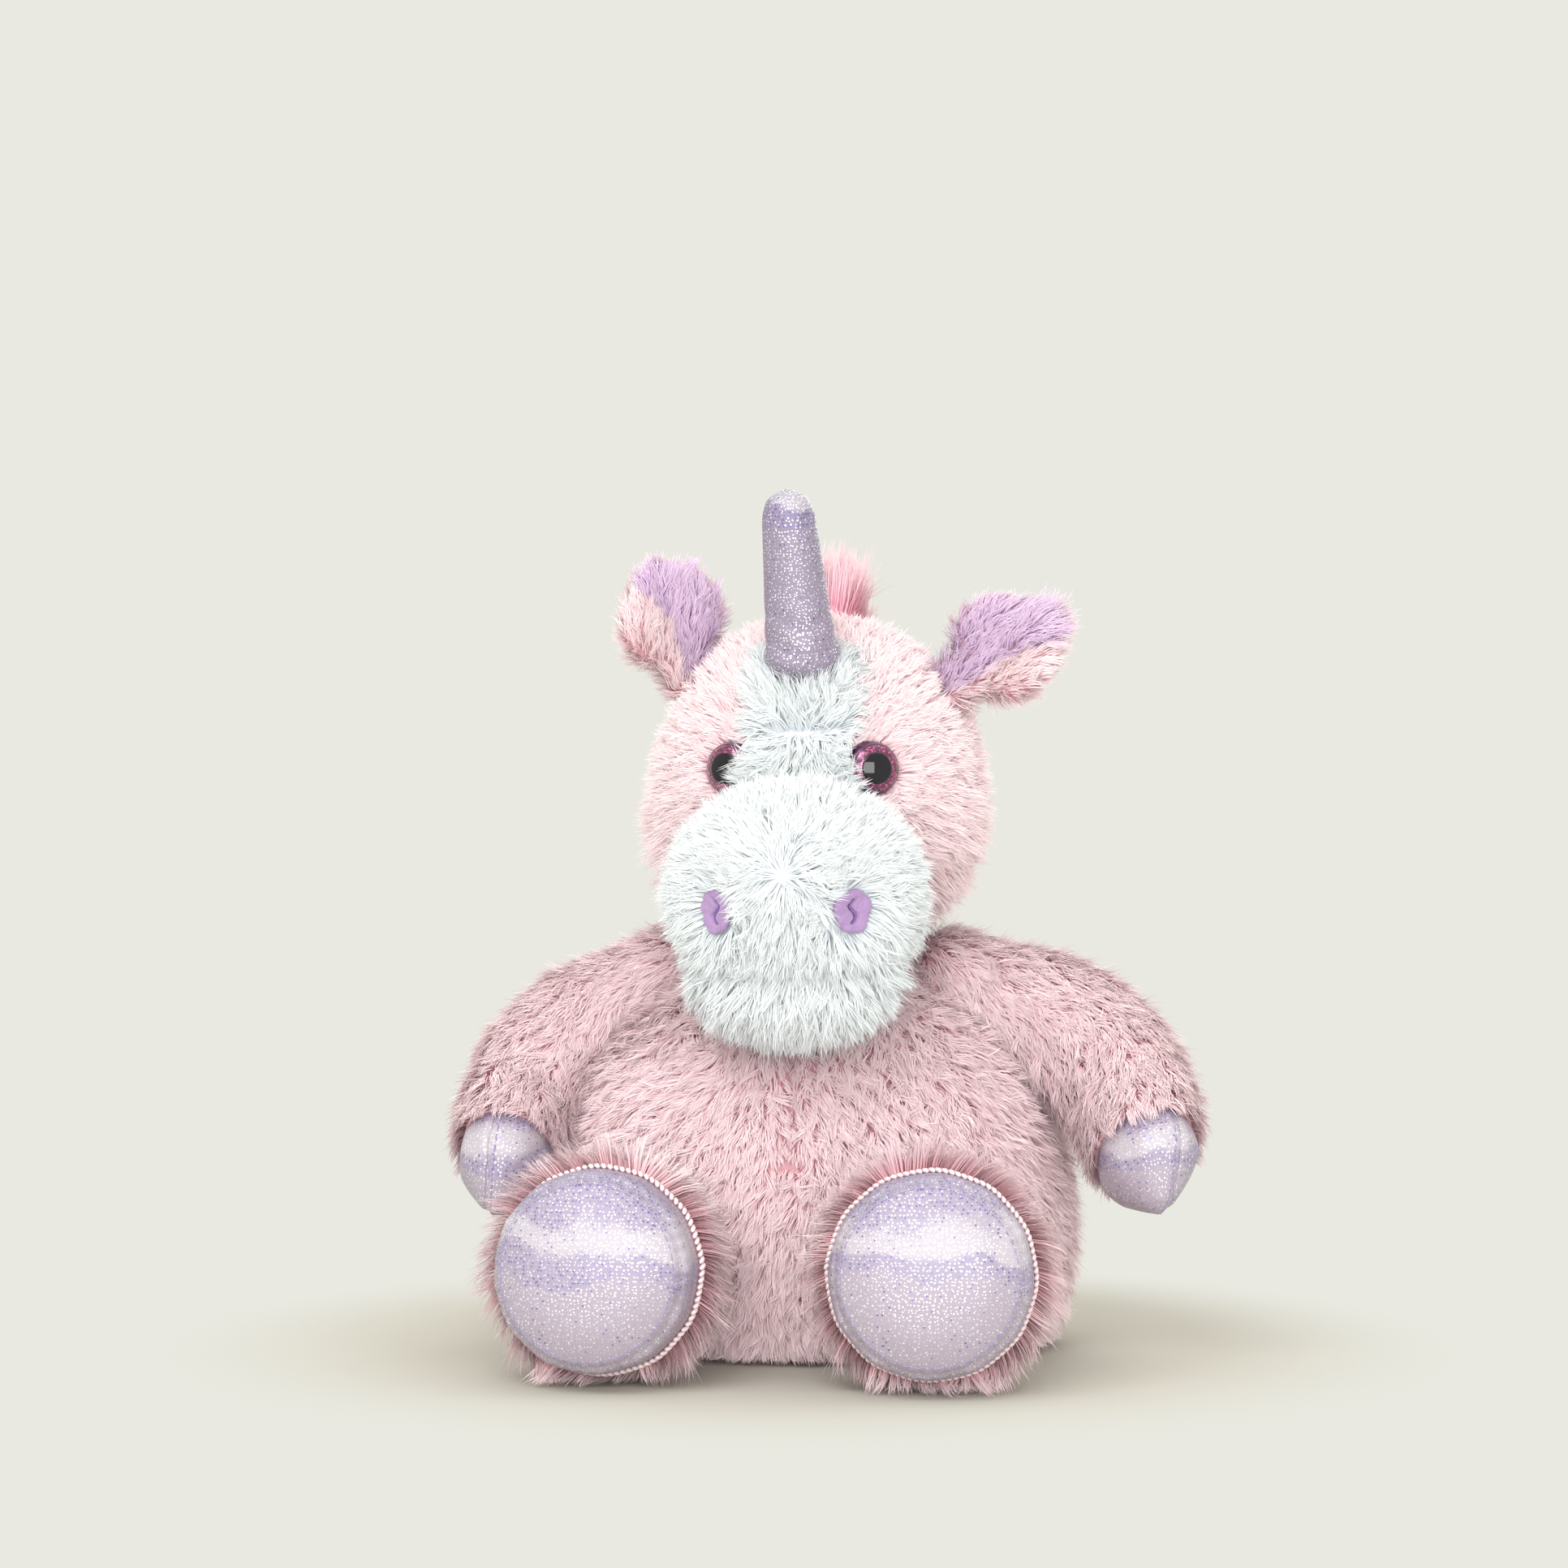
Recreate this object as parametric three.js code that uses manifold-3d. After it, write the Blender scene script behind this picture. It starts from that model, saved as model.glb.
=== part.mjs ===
// A seated plush unicorn, in millimetres, +Z up. It faces -Y, and +X is its own left.
// The origin is the middle of the flat seat under the torso.
// Each cloth panel is a shell, each stuffed part has its own filling, and each limb turns on a packed
// ball of filling at its seam. The surfaces are the cloth's backing: the pile stands outside them.
import * as THREE from "three";
import { mergeVertices } from "three/addons/utils/BufferGeometryUtils.js";
import Module from "manifold-3d";

const wasm = await Module();
wasm.setup();

// ---------- Driving dimensions ----------
const PLUSH = 2.4; // long-pile cloth, with its pile pressed flat
const GLITTER = 1.6; // foil-dotted cloth of the horn and hooves
const SEAM_GAP = 0.3; // between pieces that are sewn or packed together
const TURN_GAP = 0.4; // round a ball of filling that turns inside its seam
const LIMB_GAP = 0.9; // between the torso and a limb that moves past it

const torso = {
  halfWidth: 100,
  halfDepth: 74,
  height: 158,
  widestHeight: 45,
  seatHalfWidth: 84,
  lean: 6, // how far the shoulders stand behind the seat
};
const SEAT_SEAM = 9; // the back panel goes under the seat and comes up this far in front
const pouch = { radius: 50, depth: 30, height: 52, back: 12, crown: 0.8 };
const label = { width: 14, height: 22, thickness: 0.8, seamHeight: 62, side: 30, clear: 1.6, slope: 0.25 };
const neck = { ball: 23, sleeve: 1.8, sleeveReach: 0.55 };
const head = {
  radius: new THREE.Vector3(59, 58, 57),
  offset: 4, // towards its own left
  clearOfTorso: 4,
};
const blaze = { width: 34, top: 45, back: 12 };
const muzzle = { radius: new THREE.Vector3(43, 42, 36), forward: 72, drop: 44 };
const chin = { radius: new THREE.Vector3(35, 25, 20), forward: 76, drop: 72 };
const nostril = { radius: 8, thickness: 1.2, side: 26, lift: -4.5, threadLength: 8, threadRadius: 0.6 };
const mouth = { threadLength: 14, threadRadius: 0.9, drop: 24, ahead: 3 };
const eye = {
  corners: 10,
  radius: 10,
  dome: 6,
  plate: 1.2,
  iris: 9,
  pupil: 5.4,
  insert: 0.8,
  side: 26,
  lift: 2,
  shankRadius: 2.5,
  shankLength: 13,
  washerRadius: 8,
  washerThickness: 1.5,
  washerDepth: 0.055, // of the head's half width, past the pile cloth
};
const mane = { width: 16, height: 15, front: 2, low: -34 };
const horn = {
  ball: 15,
  baseRadius: 13.3,
  tipRadius: 10.2,
  length: 64,
  forward: 12, // degrees that it leans forwards
  roll: -4, // degrees that it leans to its own left
  side: -1,
  lift: 41,
  standOff: 5, // of the turning point outside the head's surface
};
const ear = {
  length: 49,
  halfWidth: 21,
  stalk: 6.5,
  thickness: 3,
  lining: 2.6,
  cup: 6,
  ball: 8,
  side: 48,
  lift: 31,
  forward: 6,
  sink: 1.5,
  socketGap: 5.6,
};
// The ear's half width, as a share of its widest, at shares of its length.
const earOutline = [
  [0.28, 0.45],
  [0.42, 0.88],
  [0.6, 1],
  [0.78, 0.82],
  [0.92, 0.42],
  [1, 0.12],
];
const earPose = {
  left: { lean: 55, twist: -16 }, // degrees: how far the ear hangs out, and how far it faces in
  right: { lean: 22, twist: 34 },
};
const arm = {
  pivotHeight: 136,
  sink: 5, // of the shoulder ball's middle below the torso's surface
  ballShare: 0.896, // the stuffed ball's radius, as a share of the root's inside
  rootRadius: 21.6,
  wide: 24,
  flat: 18.5,
  hoofLength: 31,
  neckShare: 0.88, // the arm's width where it leaves the ball, as a share of the ball's
  grownBy: 0.35, // the share of its length by which it is full width
  openBack: 11, // where the sleeve's root is cut open towards the torso
  forwardSwing: 70,
  raise: 55,
};
// Middle line of each arm past its shoulder: outwards, forwards, downwards.
const armLine = {
  left: [
    [36, 6, 9],
    [66, 26, 32],
    [77, 50, 57],
    [84, 67, 77],
  ],
  right: [
    [29, 8, 13],
    [50, 30, 39],
    [54, 55, 63],
    [56, 73, 80],
  ],
};
const leg = {
  spacing: 108,
  pivotHeight: 37,
  sink: 9,
  ballShare: 0.878, // the stuffed ball's radius, as a share of the root's inside
  rootRadius: 32,
  waistRadius: 28,
  kneeRadius: 33,
  kneeShare: 0.5,
  footRadius: 37,
  length: 92,
  footHeight: 43,
  toeOut: 4,
  bandLength: 20,
  soleRadius: 33,
  bulge: 9,
  openBack: 15,
  lift: 16,
  splay: 12,
  close: 6,
};
const footSeam = { radius: 1.3 };
const tail = { ball: 8.5, pivotHeight: 44, sink: 2, halfWidth: 12, flat: 8, socketGap: 2.5 };
const tailLine = [
  [0, 14, 4],
  [0, 30, 14],
  [0, 38, 33],
];

// ---------- Materials ----------
function finish(color, roughness, metalness = 0) {
  return new THREE.MeshStandardMaterial({ color, roughness, metalness });
}
const material = {
  bodyPlush: finish(0xf0c6cf, 0.95),
  headPlush: finish(0xf6d9dc, 0.95),
  whitePlush: finish(0xf3f5f6, 0.95),
  lilacPlush: finish(0xd9bfe0, 0.95),
  maneHair: finish(0xf19db8, 0.8),
  glitterCloth: finish(0xc3b1de, 0.45, 0.3),
  felt: finish(0xbf97dc, 0.95),
  thread: finish(0x6a4a86, 0.8),
  paleThread: finish(0xf7d8dc, 0.8),
  filling: finish(0xf7f5f0, 1),
  cotton: finish(0xe9e2d2, 0.95),
  satin: finish(0xf4f2ee, 0.5),
  pinkGlitter: finish(0xb23a86, 0.35, 0.4),
  blackPlastic: finish(0x0d0a10, 0.2),
  clearPlastic: finish(0x3c1733, 0.08),
};

// ---------- Solids ----------
// A closed geometry as a solid that can be joined and cut.
function solid(geometry) {
  const bare = geometry.index ? geometry.toNonIndexed() : geometry.clone();
  bare.deleteAttribute("normal");
  bare.deleteAttribute("uv");
  const merged = mergeVertices(bare, 1e-3);
  return new wasm.Manifold(
    new wasm.Mesh({
      numProp: 3,
      vertProperties: merged.attributes.position.array,
      triVerts: new Uint32Array(merged.index.array),
    }),
  );
}

// The largest single body of a solid, as a named mesh: cuts can leave slivers beside it.
function piece(name, made, finishOf) {
  const bodies = made.decompose().sort((a, b) => b.volume() - a.volume());
  const { vertProperties, triVerts, numProp } = bodies[0].getMesh();
  const places = new Float32Array((vertProperties.length / numProp) * 3);
  for (let i = 0; i < places.length / 3; i++) {
    places.set(vertProperties.subarray(i * numProp, i * numProp + 3), i * 3);
  }
  const geometry = new THREE.BufferGeometry();
  geometry.setAttribute("position", new THREE.BufferAttribute(places, 3));
  geometry.setIndex(new THREE.BufferAttribute(new Uint32Array(triVerts), 1));
  geometry.computeVertexNormals();
  const mesh = new THREE.Mesh(geometry, finishOf);
  mesh.name = name;
  return mesh;
}

function v(x, y, z) {
  return new THREE.Vector3(x, y, z);
}
const ORIGIN = v(0, 0, 0);
const RIGHT = v(1, 0, 0);
const UP = v(0, 0, 1);
const SIDES = { left: 1, right: -1 };

function moved(geometry, change) {
  const places = geometry.attributes.position;
  const point = v(0, 0, 0);
  for (let i = 0; i < places.count; i++) {
    change(point.fromBufferAttribute(places, i));
    places.setXYZ(i, point.x, point.y, point.z);
  }
  return geometry;
}

// Turns (radius, height) points about Z.
function turned(points, corners) {
  const profile = points.map(([r, h]) => new THREE.Vector2(r, h));
  return new THREE.LatheGeometry(profile, corners).rotateX(Math.PI / 2);
}

// Stands a geometry made along Z at a point, along a direction.
function stood(geometry, at, direction) {
  const turn = new THREE.Quaternion().setFromUnitVectors(UP, direction.clone().normalize());
  return solid(geometry.applyQuaternion(turn).translate(at.x, at.y, at.z));
}

function ellipsoid(radius, at, across, up) {
  const geometry = new THREE.SphereGeometry(1, across, up).rotateX(Math.PI / 2);
  return solid(geometry.scale(radius.x, radius.y, radius.z).translate(at.x, at.y, at.z));
}

// A ball with 80 flat faces.
const FLATNESS = 0.93; // how near its faces come to its middle, as a share of its radius
function ball(radius, at) {
  return solid(new THREE.IcosahedronGeometry(radius, 1).translate(at.x, at.y, at.z));
}

// A hollow that anything of this radius can turn in.
function room(radius, at) {
  return ball((radius + TURN_GAP) / FLATNESS, at);
}

function shrunk(radius, by) {
  return radius.clone().subScalar(by);
}

const FAR = 400; // past everything, for blocks that cut
function block(low, high) {
  const size = high.clone().sub(low);
  const middle = low.clone().add(high).multiplyScalar(0.5);
  return solid(new THREE.BoxGeometry(size.x, size.y, size.z).translate(middle.x, middle.y, middle.z));
}
const leftOf = (x) => block(v(x, -FAR, -FAR), v(FAR, FAR, FAR));
const rightOf = (x) => block(v(-FAR, -FAR, -FAR), v(x, FAR, FAR));
const frontOf = (y) => block(v(-FAR, -FAR, -FAR), v(FAR, y, FAR));
const above = (z) => block(v(-FAR, -FAR, z), v(FAR, FAR, FAR));

// Everything past a plane, which stands this far along a direction from a point.
function beyond(at, direction, by = 0) {
  const start = at.clone().addScaledVector(direction, by);
  return stood(new THREE.BoxGeometry(FAR, FAR, FAR).translate(0, 0, FAR / 2), start, direction);
}

// A rod centred on a point, from one distance to another along a direction.
function rod(radius, from, to, at, direction, corners = 10) {
  const points = [
    [0, from],
    [radius, from],
    [radius, to],
    [0, to],
  ];
  return stood(turned(points, corners), at, direction);
}

// A stuffed tube along a curve. sizeAt(t) gives its half width and its half depth, and wide is the
// direction that its width faces, as near as the curve lets it.
function tube(curve, wide, sizeAt, corners, rings) {
  const points = [[0, 0]];
  for (let i = 0; i <= rings; i++) points.push([1, i / rings]);
  points.push([0, 1]);
  const drawn = moved(turned(points, corners), (p) => {
    const t = THREE.MathUtils.clamp(p.z, 0, 1);
    const ahead = curve.getTangentAt(t);
    const depthWay = ahead.clone().cross(wide).normalize();
    const widthWay = depthWay.clone().cross(ahead).normalize();
    const [halfWidth, halfDepth] = sizeAt(t);
    const across = widthWay.multiplyScalar(p.x * halfWidth).addScaledVector(depthWay, p.y * halfDepth);
    p.copy(curve.getPointAt(t)).add(across);
  });
  return solid(drawn);
}

// A tube's size, as a share, where it closes in a round end over its last share of length.
function roundEnd(t, share) {
  const into = Math.max(0, (t - (1 - share)) / share);
  return Math.sqrt(Math.max(0.03, 1 - into * into));
}

// ---------- Torso ----------
function torsoHalfWidth(z) {
  const belly = torso.widestHeight;
  if (z < belly) {
    const fall = (belly - z) / belly;
    return torso.seatHalfWidth + (torso.halfWidth - torso.seatHalfWidth) * Math.sqrt(1 - fall * fall);
  }
  const rise = (z - belly) / (torso.height - belly);
  return torso.halfWidth * Math.sqrt(Math.max(0, 1 - rise * rise));
}

function torsoMiddle(z) {
  return torso.lean * (z / torso.height) ** 2;
}

// The point of the torso's surface at a height and a place across it, in front (-1) or behind (1).
function onTorso(x, z, side) {
  const across = Math.abs(x) / torsoHalfWidth(z);
  const depth = (torsoHalfWidth(z) * torso.halfDepth) / torso.halfWidth;
  return v(x, torsoMiddle(z) + side * depth * Math.sqrt(1 - across * across), z);
}

function torsoBulk(inset) {
  const lowSteps = 3;
  const highSteps = 6;
  const points = [[0, inset]];
  for (let i = 0; i < lowSteps; i++) {
    const turn = (i / lowSteps) * (Math.PI / 2);
    points.push([
      torso.seatHalfWidth + (torso.halfWidth - torso.seatHalfWidth) * Math.sin(turn) - inset,
      inset + (torso.widestHeight - inset) * (1 - Math.cos(turn)),
    ]);
  }
  for (let i = 0; i < highSteps; i++) {
    const turn = (i / highSteps) * (Math.PI / 2);
    points.push([
      (torso.halfWidth - inset) * Math.cos(turn),
      torso.widestHeight + (torso.height - inset - torso.widestHeight) * Math.sin(turn),
    ]);
  }
  points.push([0, torso.height - inset]);
  const depthShare = (torso.halfDepth - inset) / (torso.halfWidth - inset);
  const squashed = moved(turned(points, 16), (p) => {
    p.y = p.y * depthShare + torsoMiddle(p.z);
  });
  return solid(squashed);
}

const neckPivot = v(0, torsoMiddle(torso.height), torso.height);
const shoulderPivot = {};
const hipPivot = {};
for (const [side, sign] of Object.entries(SIDES)) {
  const out = torsoHalfWidth(arm.pivotHeight) - arm.sink;
  shoulderPivot[side] = v(sign * out, torsoMiddle(arm.pivotHeight), arm.pivotHeight);
  hipPivot[side] = onTorso((sign * leg.spacing) / 2, leg.pivotHeight, -1).add(v(0, leg.sink, 0));
}
const tailPivot = onTorso(0, tail.pivotHeight, 1).add(v(0, -tail.sink, 0));
const sleeveOuter = (neck.ball + TURN_GAP) / FLATNESS + neck.sleeve;

function torsoRooms() {
  const rooms = [room(sleeveOuter, neckPivot), ball(tail.ball + tail.socketGap, tailPivot)];
  for (const side of Object.keys(SIDES)) {
    rooms.push(room(arm.rootRadius, shoulderPivot[side]));
    rooms.push(room(leg.rootRadius, hipPivot[side]));
  }
  return rooms;
}

// The space that the torso takes up, as a limb meets it in each of its poses about its pivot.
// A pose is a list of turns, [axis, degrees], with the one nearest to the torso first.
function torsoFrom(pivot, poses) {
  const seen = poses.map((turns) => {
    const view = new THREE.Matrix4().makeTranslation(pivot.x, pivot.y, pivot.z);
    for (const [axis, degrees] of turns.toReversed()) {
      const angle = -THREE.MathUtils.degToRad(degrees);
      view.multiply(new THREE.Matrix4().makeRotationAxis(axis, angle));
    }
    view.multiply(new THREE.Matrix4().makeTranslation(-pivot.x, -pivot.y, -pivot.z));
    return torsoBulk(-LIMB_GAP).transform(view.elements);
  });
  return seen.reduce((all, one) => all.add(one));
}

function steps(from, to, count) {
  return Array.from({ length: count + 1 }, (_, i) => from + ((to - from) * i) / count);
}

function pouchSolid(grow) {
  const radius = pouch.radius + grow;
  const low = PLUSH + SEAM_GAP - grow;
  const high = low + pouch.height + 2 * grow;
  const edge = (pouch.height + 2 * grow) / 4;
  const points = [
    [0, low],
    [radius * pouch.crown, low],
    [radius, low + edge],
    [radius, high - edge],
    [radius * pouch.crown, high],
    [0, high],
  ];
  const placed = turned(points, 12).scale(1, pouch.depth / pouch.radius, 1).translate(0, pouch.back, 0);
  return solid(placed);
}

function torsoPieces() {
  const cut = (made) => torsoRooms().reduce((kept, one) => kept.subtract(one), made);
  const cloth = cut(torsoBulk(0).subtract(torsoBulk(PLUSH)));
  const filling = cut(torsoBulk(PLUSH + SEAM_GAP)).subtract(pouchSolid(SEAM_GAP));
  const half = SEAM_GAP / 2;
  const frontPart = (gap) => frontOf(-gap).intersect(above(SEAT_SEAM + gap));
  const front = cloth.intersect(frontPart(half));
  return [
    piece("torso_front_left", front.intersect(leftOf(half)), material.bodyPlush),
    piece("torso_front_right", front.intersect(rightOf(-half)), material.bodyPlush),
    piece("torso_back", cloth.subtract(frontPart(-half)), material.bodyPlush),
    piece("torso_stuffing", filling, material.filling),
    piece("pellet_pouch", pouchSolid(0), material.cotton),
    labelPiece(),
  ];
}

// A blank satin loop that hangs from a back seam, beside the tail.
function labelPiece() {
  const seam = onTorso(label.side, label.seamHeight, 1);
  const hung = new THREE.BoxGeometry(label.width, label.thickness, label.height);
  const sloped = moved(hung.translate(0, 0, -label.height / 2), (p) => {
    p.y -= p.z * label.slope;
  });
  return piece("care_label", solid(sloped.translate(seam.x, seam.y + label.clear, seam.z)), material.satin);
}

// ---------- Neck ----------
function neckPieces() {
  const reach = neck.ball * neck.sleeveReach;
  const band = block(v(-FAR, -FAR, neckPivot.z - reach), v(FAR, FAR, neckPivot.z + reach));
  const sleeve = ball(sleeveOuter, neckPivot).subtract(room(neck.ball, neckPivot));
  return [
    piece("neck_sleeve", sleeve.intersect(band), material.bodyPlush),
    piece("neck_stuffing", ball(neck.ball, neckPivot), material.filling),
  ];
}

// ---------- Head, in its own frame, with its middle at the origin ----------
const headGroup = new THREE.Group();
headGroup.position.set(head.offset, 0, neckPivot.z + head.clearOfTorso + head.radius.z);
headGroup.updateMatrixWorld(true);
const neckInHead = headGroup.worldToLocal(neckPivot.clone());
const muzzleMiddle = v(0, -muzzle.forward, -muzzle.drop);
const chinMiddle = v(0, -chin.forward, -chin.drop);

const headBulk = (inset) => ellipsoid(shrunk(head.radius, inset), ORIGIN, 14, 8);
const muzzleBulk = (inset) => ellipsoid(shrunk(muzzle.radius, inset), muzzleMiddle, 12, 7);
const chinBulk = (inset) => ellipsoid(shrunk(chin.radius, inset), chinMiddle, 10, 6);

// The front point of an ellipsoid at a place to the side and up from its middle, and its normal.
function inFront(radius, x, z) {
  const y = -radius.y * Math.sqrt(1 - (x / radius.x) ** 2 - (z / radius.z) ** 2);
  const normal = v(x / radius.x ** 2, y / radius.y ** 2, z / radius.z ** 2).normalize();
  return { at: v(x, y, z), normal };
}

const eyePlace = {
  left: inFront(head.radius, eye.side, eye.lift),
  right: inFront(head.radius, -eye.side, eye.lift),
};
const hornRoot = inFront(head.radius, horn.side, horn.lift);
const hornPivot = hornRoot.at.clone().addScaledVector(hornRoot.normal, horn.standOff);
const earPivot = {};
for (const [side, sign] of Object.entries(SIDES)) {
  const toRoot = v(sign * ear.side, -ear.forward, ear.lift);
  const toSurface = 1 / toRoot.clone().divide(head.radius).length();
  earPivot[side] = toRoot.clone().multiplyScalar(toSurface);
  earPivot[side].addScaledVector(toRoot.normalize(), -ear.sink);
}

function headRooms() {
  const rooms = [room(sleeveOuter, neckInHead), room(horn.ball, hornPivot)];
  for (const side of Object.keys(SIDES)) rooms.push(ball(ear.ball + ear.socketGap, earPivot[side]));
  return rooms;
}

function headPieces() {
  const half = SEAM_GAP / 2;
  const cut = (made) => headRooms().reduce((kept, one) => kept.subtract(one), made);
  let cloth = cut(headBulk(0).subtract(headBulk(PLUSH))).subtract(muzzleBulk(-SEAM_GAP));
  for (const { at, normal } of Object.values(eyePlace)) {
    cloth = cloth.subtract(rod(eye.shankRadius + half, -PLUSH * 2, PLUSH, at, normal, eye.corners));
  }
  const strip = (grow) => {
    const reach = blaze.width / 2 + grow;
    return block(v(-reach, -FAR, -muzzle.drop), v(reach, -blaze.back, blaze.top + grow));
  };
  const sides = cloth.subtract(strip(SEAM_GAP));
  const muzzleCloth = muzzleBulk(0).subtract(muzzleBulk(PLUSH)).subtract(headBulk(-SEAM_GAP));
  const chinCloth = chinBulk(0)
    .subtract(chinBulk(PLUSH))
    .subtract(muzzleBulk(-SEAM_GAP))
    .subtract(headBulk(-SEAM_GAP));

  const within = PLUSH + SEAM_GAP;
  const bulk = headBulk(within).add(muzzleBulk(within));
  let filling = cut(bulk);
  const reach = eye.shankLength + SEAM_GAP;
  for (const { at, normal } of Object.values(eyePlace)) {
    filling = filling.subtract(rod(eye.washerRadius + SEAM_GAP, -reach, 0, at, normal, eye.corners));
  }
  return [
    piece("head_side_left", sides.intersect(leftOf(half)), material.headPlush),
    piece("head_side_right", sides.intersect(rightOf(-half)), material.headPlush),
    piece("blaze_gusset", cloth.intersect(strip(0)), material.whitePlush),
    piece("muzzle_cover", muzzleCloth.subtract(chinBulk(0)), material.whitePlush),
    piece("chin_cover", chinCloth, material.whitePlush),
    piece("chin_stuffing", chinFilling(), material.filling),
    piece("head_stuffing", filling, material.filling),
    ...Object.entries(SIDES).flatMap(([side, sign]) => nostrilPieces(side, sign)),
    mouthThread(),
    manePiece(),
  ];
}

function chinFilling() {
  return chinBulk(PLUSH + SEAM_GAP).subtract(muzzleBulk(-SEAM_GAP)).subtract(headBulk(-SEAM_GAP));
}

// A felt disc that lies on the muzzle, and the thread that dimples it.
function nostrilPieces(side, sign) {
  const { at, normal } = inFront(muzzle.radius, sign * nostril.side, nostril.lift);
  at.add(muzzleMiddle);
  const layer = muzzleBulk(-SEAM_GAP - nostril.thickness).subtract(muzzleBulk(-SEAM_GAP));
  const disc = rod(nostril.radius, -nostril.radius, nostril.radius, at, normal, 12);
  const threadAt = at.addScaledVector(normal, nostril.thickness + nostril.threadRadius + 3 * SEAM_GAP);
  const length = nostril.threadLength / 2;
  const thread = rod(nostril.threadRadius, -length, length, threadAt, UP, 6);
  return [
    piece(`nostril_${side}`, layer.intersect(disc), material.felt),
    piece(`nostril_thread_${side}`, thread, material.thread),
  ];
}

// The stitch that draws the mouth in, in the crease between the muzzle and the chin.
function mouthThread() {
  const rise = mouth.drop / muzzle.radius.z;
  const y = -muzzle.forward - muzzle.radius.y * Math.sqrt(1 - rise * rise) - mouth.ahead;
  const length = mouth.threadLength / 2;
  const at = v(0, y, -muzzle.drop - mouth.drop);
  return piece("mouth_thread", rod(mouth.threadRadius, -length, length, at, RIGHT, 6), material.paleThread);
}

// The long-haired strip down the middle of the head's back, from behind the horn to the nape.
function manePiece() {
  const band = headBulk(-mane.height).subtract(headBulk(-SEAM_GAP));
  const strip = block(v(-mane.width / 2, mane.front, mane.low), v(mane.width / 2, FAR, FAR));
  return piece("mane", band.intersect(strip), material.maneHair);
}

// ---------- Eyes, each on its own axis, +Z out of the head ----------
function eyeGroup(side) {
  const group = new THREE.Group();
  const { at, normal } = eyePlace[side];
  group.position.copy(at);
  group.quaternion.setFromUnitVectors(UP, normal);

  const part = (name, points, finishOf) =>
    group.add(piece(`eye_${name}_${side}`, solid(turned(points, eye.corners)), finishOf));
  const ring = (inner, outer, low, high) => [
    [inner, low],
    [outer, low],
    [outer, high],
    [inner, high],
    [inner, low],
  ];

  const shank = eye.shankRadius - SEAM_GAP / 2;
  const plateTop = SEAM_GAP + eye.plate;
  const plate = [
    [0, -eye.shankLength],
    [shank, -eye.shankLength],
    [shank, SEAM_GAP],
    [eye.radius, SEAM_GAP],
    [eye.radius, plateTop],
    [0, plateTop],
  ];
  part("back", plate, material.blackPlastic);

  const insertLow = plateTop + SEAM_GAP;
  const insertHigh = insertLow + eye.insert;
  const pupil = [
    [0, insertLow],
    [eye.pupil, insertLow],
    [eye.pupil, insertHigh],
    [0, insertHigh],
  ];
  part("iris", ring(eye.pupil + SEAM_GAP, eye.iris, insertLow, insertHigh), material.pinkGlitter);
  part("pupil", pupil, material.blackPlastic);

  const dome = [
    [0, insertHigh + SEAM_GAP],
    [eye.iris + SEAM_GAP, insertHigh + SEAM_GAP],
    [eye.iris + SEAM_GAP, insertLow],
  ];
  const domeSteps = 3;
  for (let i = 0; i < domeSteps; i++) {
    const turn = (i / domeSteps) * (Math.PI / 2);
    dome.push([eye.radius * Math.cos(turn), insertLow + eye.dome * Math.sin(turn)]);
  }
  dome.push([0, insertLow + eye.dome]);
  part("dome", dome, material.clearPlastic);

  const inside = -(PLUSH + eye.washerDepth * head.radius.x);
  const hole = eye.shankRadius + SEAM_GAP / 2;
  const washer = ring(hole, eye.washerRadius, inside - eye.washerThickness, inside);
  part("washer", washer, material.blackPlastic);
  return group;
}

// ---------- Horn, on its own axis, with its turning point at the origin ----------
function hornGroup() {
  const group = new THREE.Group();
  group.position.copy(hornPivot);
  group.rotation.x = THREE.MathUtils.degToRad(horn.forward);
  group.rotation.y = THREE.MathUtils.degToRad(horn.roll);
  const bulk = (inset) => {
    const root = horn.ball - inset;
    const base = horn.baseRadius - inset;
    const tip = horn.tipRadius - inset;
    const waist = Math.sqrt(horn.ball ** 2 - horn.baseRadius ** 2);
    const points = [
      [0, -root],
      [root * Math.SQRT1_2, -root * Math.SQRT1_2],
      [root, 0],
      [base, waist],
      [tip, horn.length - horn.tipRadius],
      [tip * 0.8, horn.length - horn.tipRadius + tip * 0.6],
      [0, horn.length - inset],
    ];
    return solid(turned(points, 12));
  };
  const cover = bulk(0)
    .subtract(bulk(GLITTER))
    .intersect(above(-horn.ball / 2));
  group.add(
    piece("horn_cover", cover, material.glitterCloth),
    piece("horn_stuffing", bulk(GLITTER + SEAM_GAP), material.filling),
  );
  return group;
}

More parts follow.
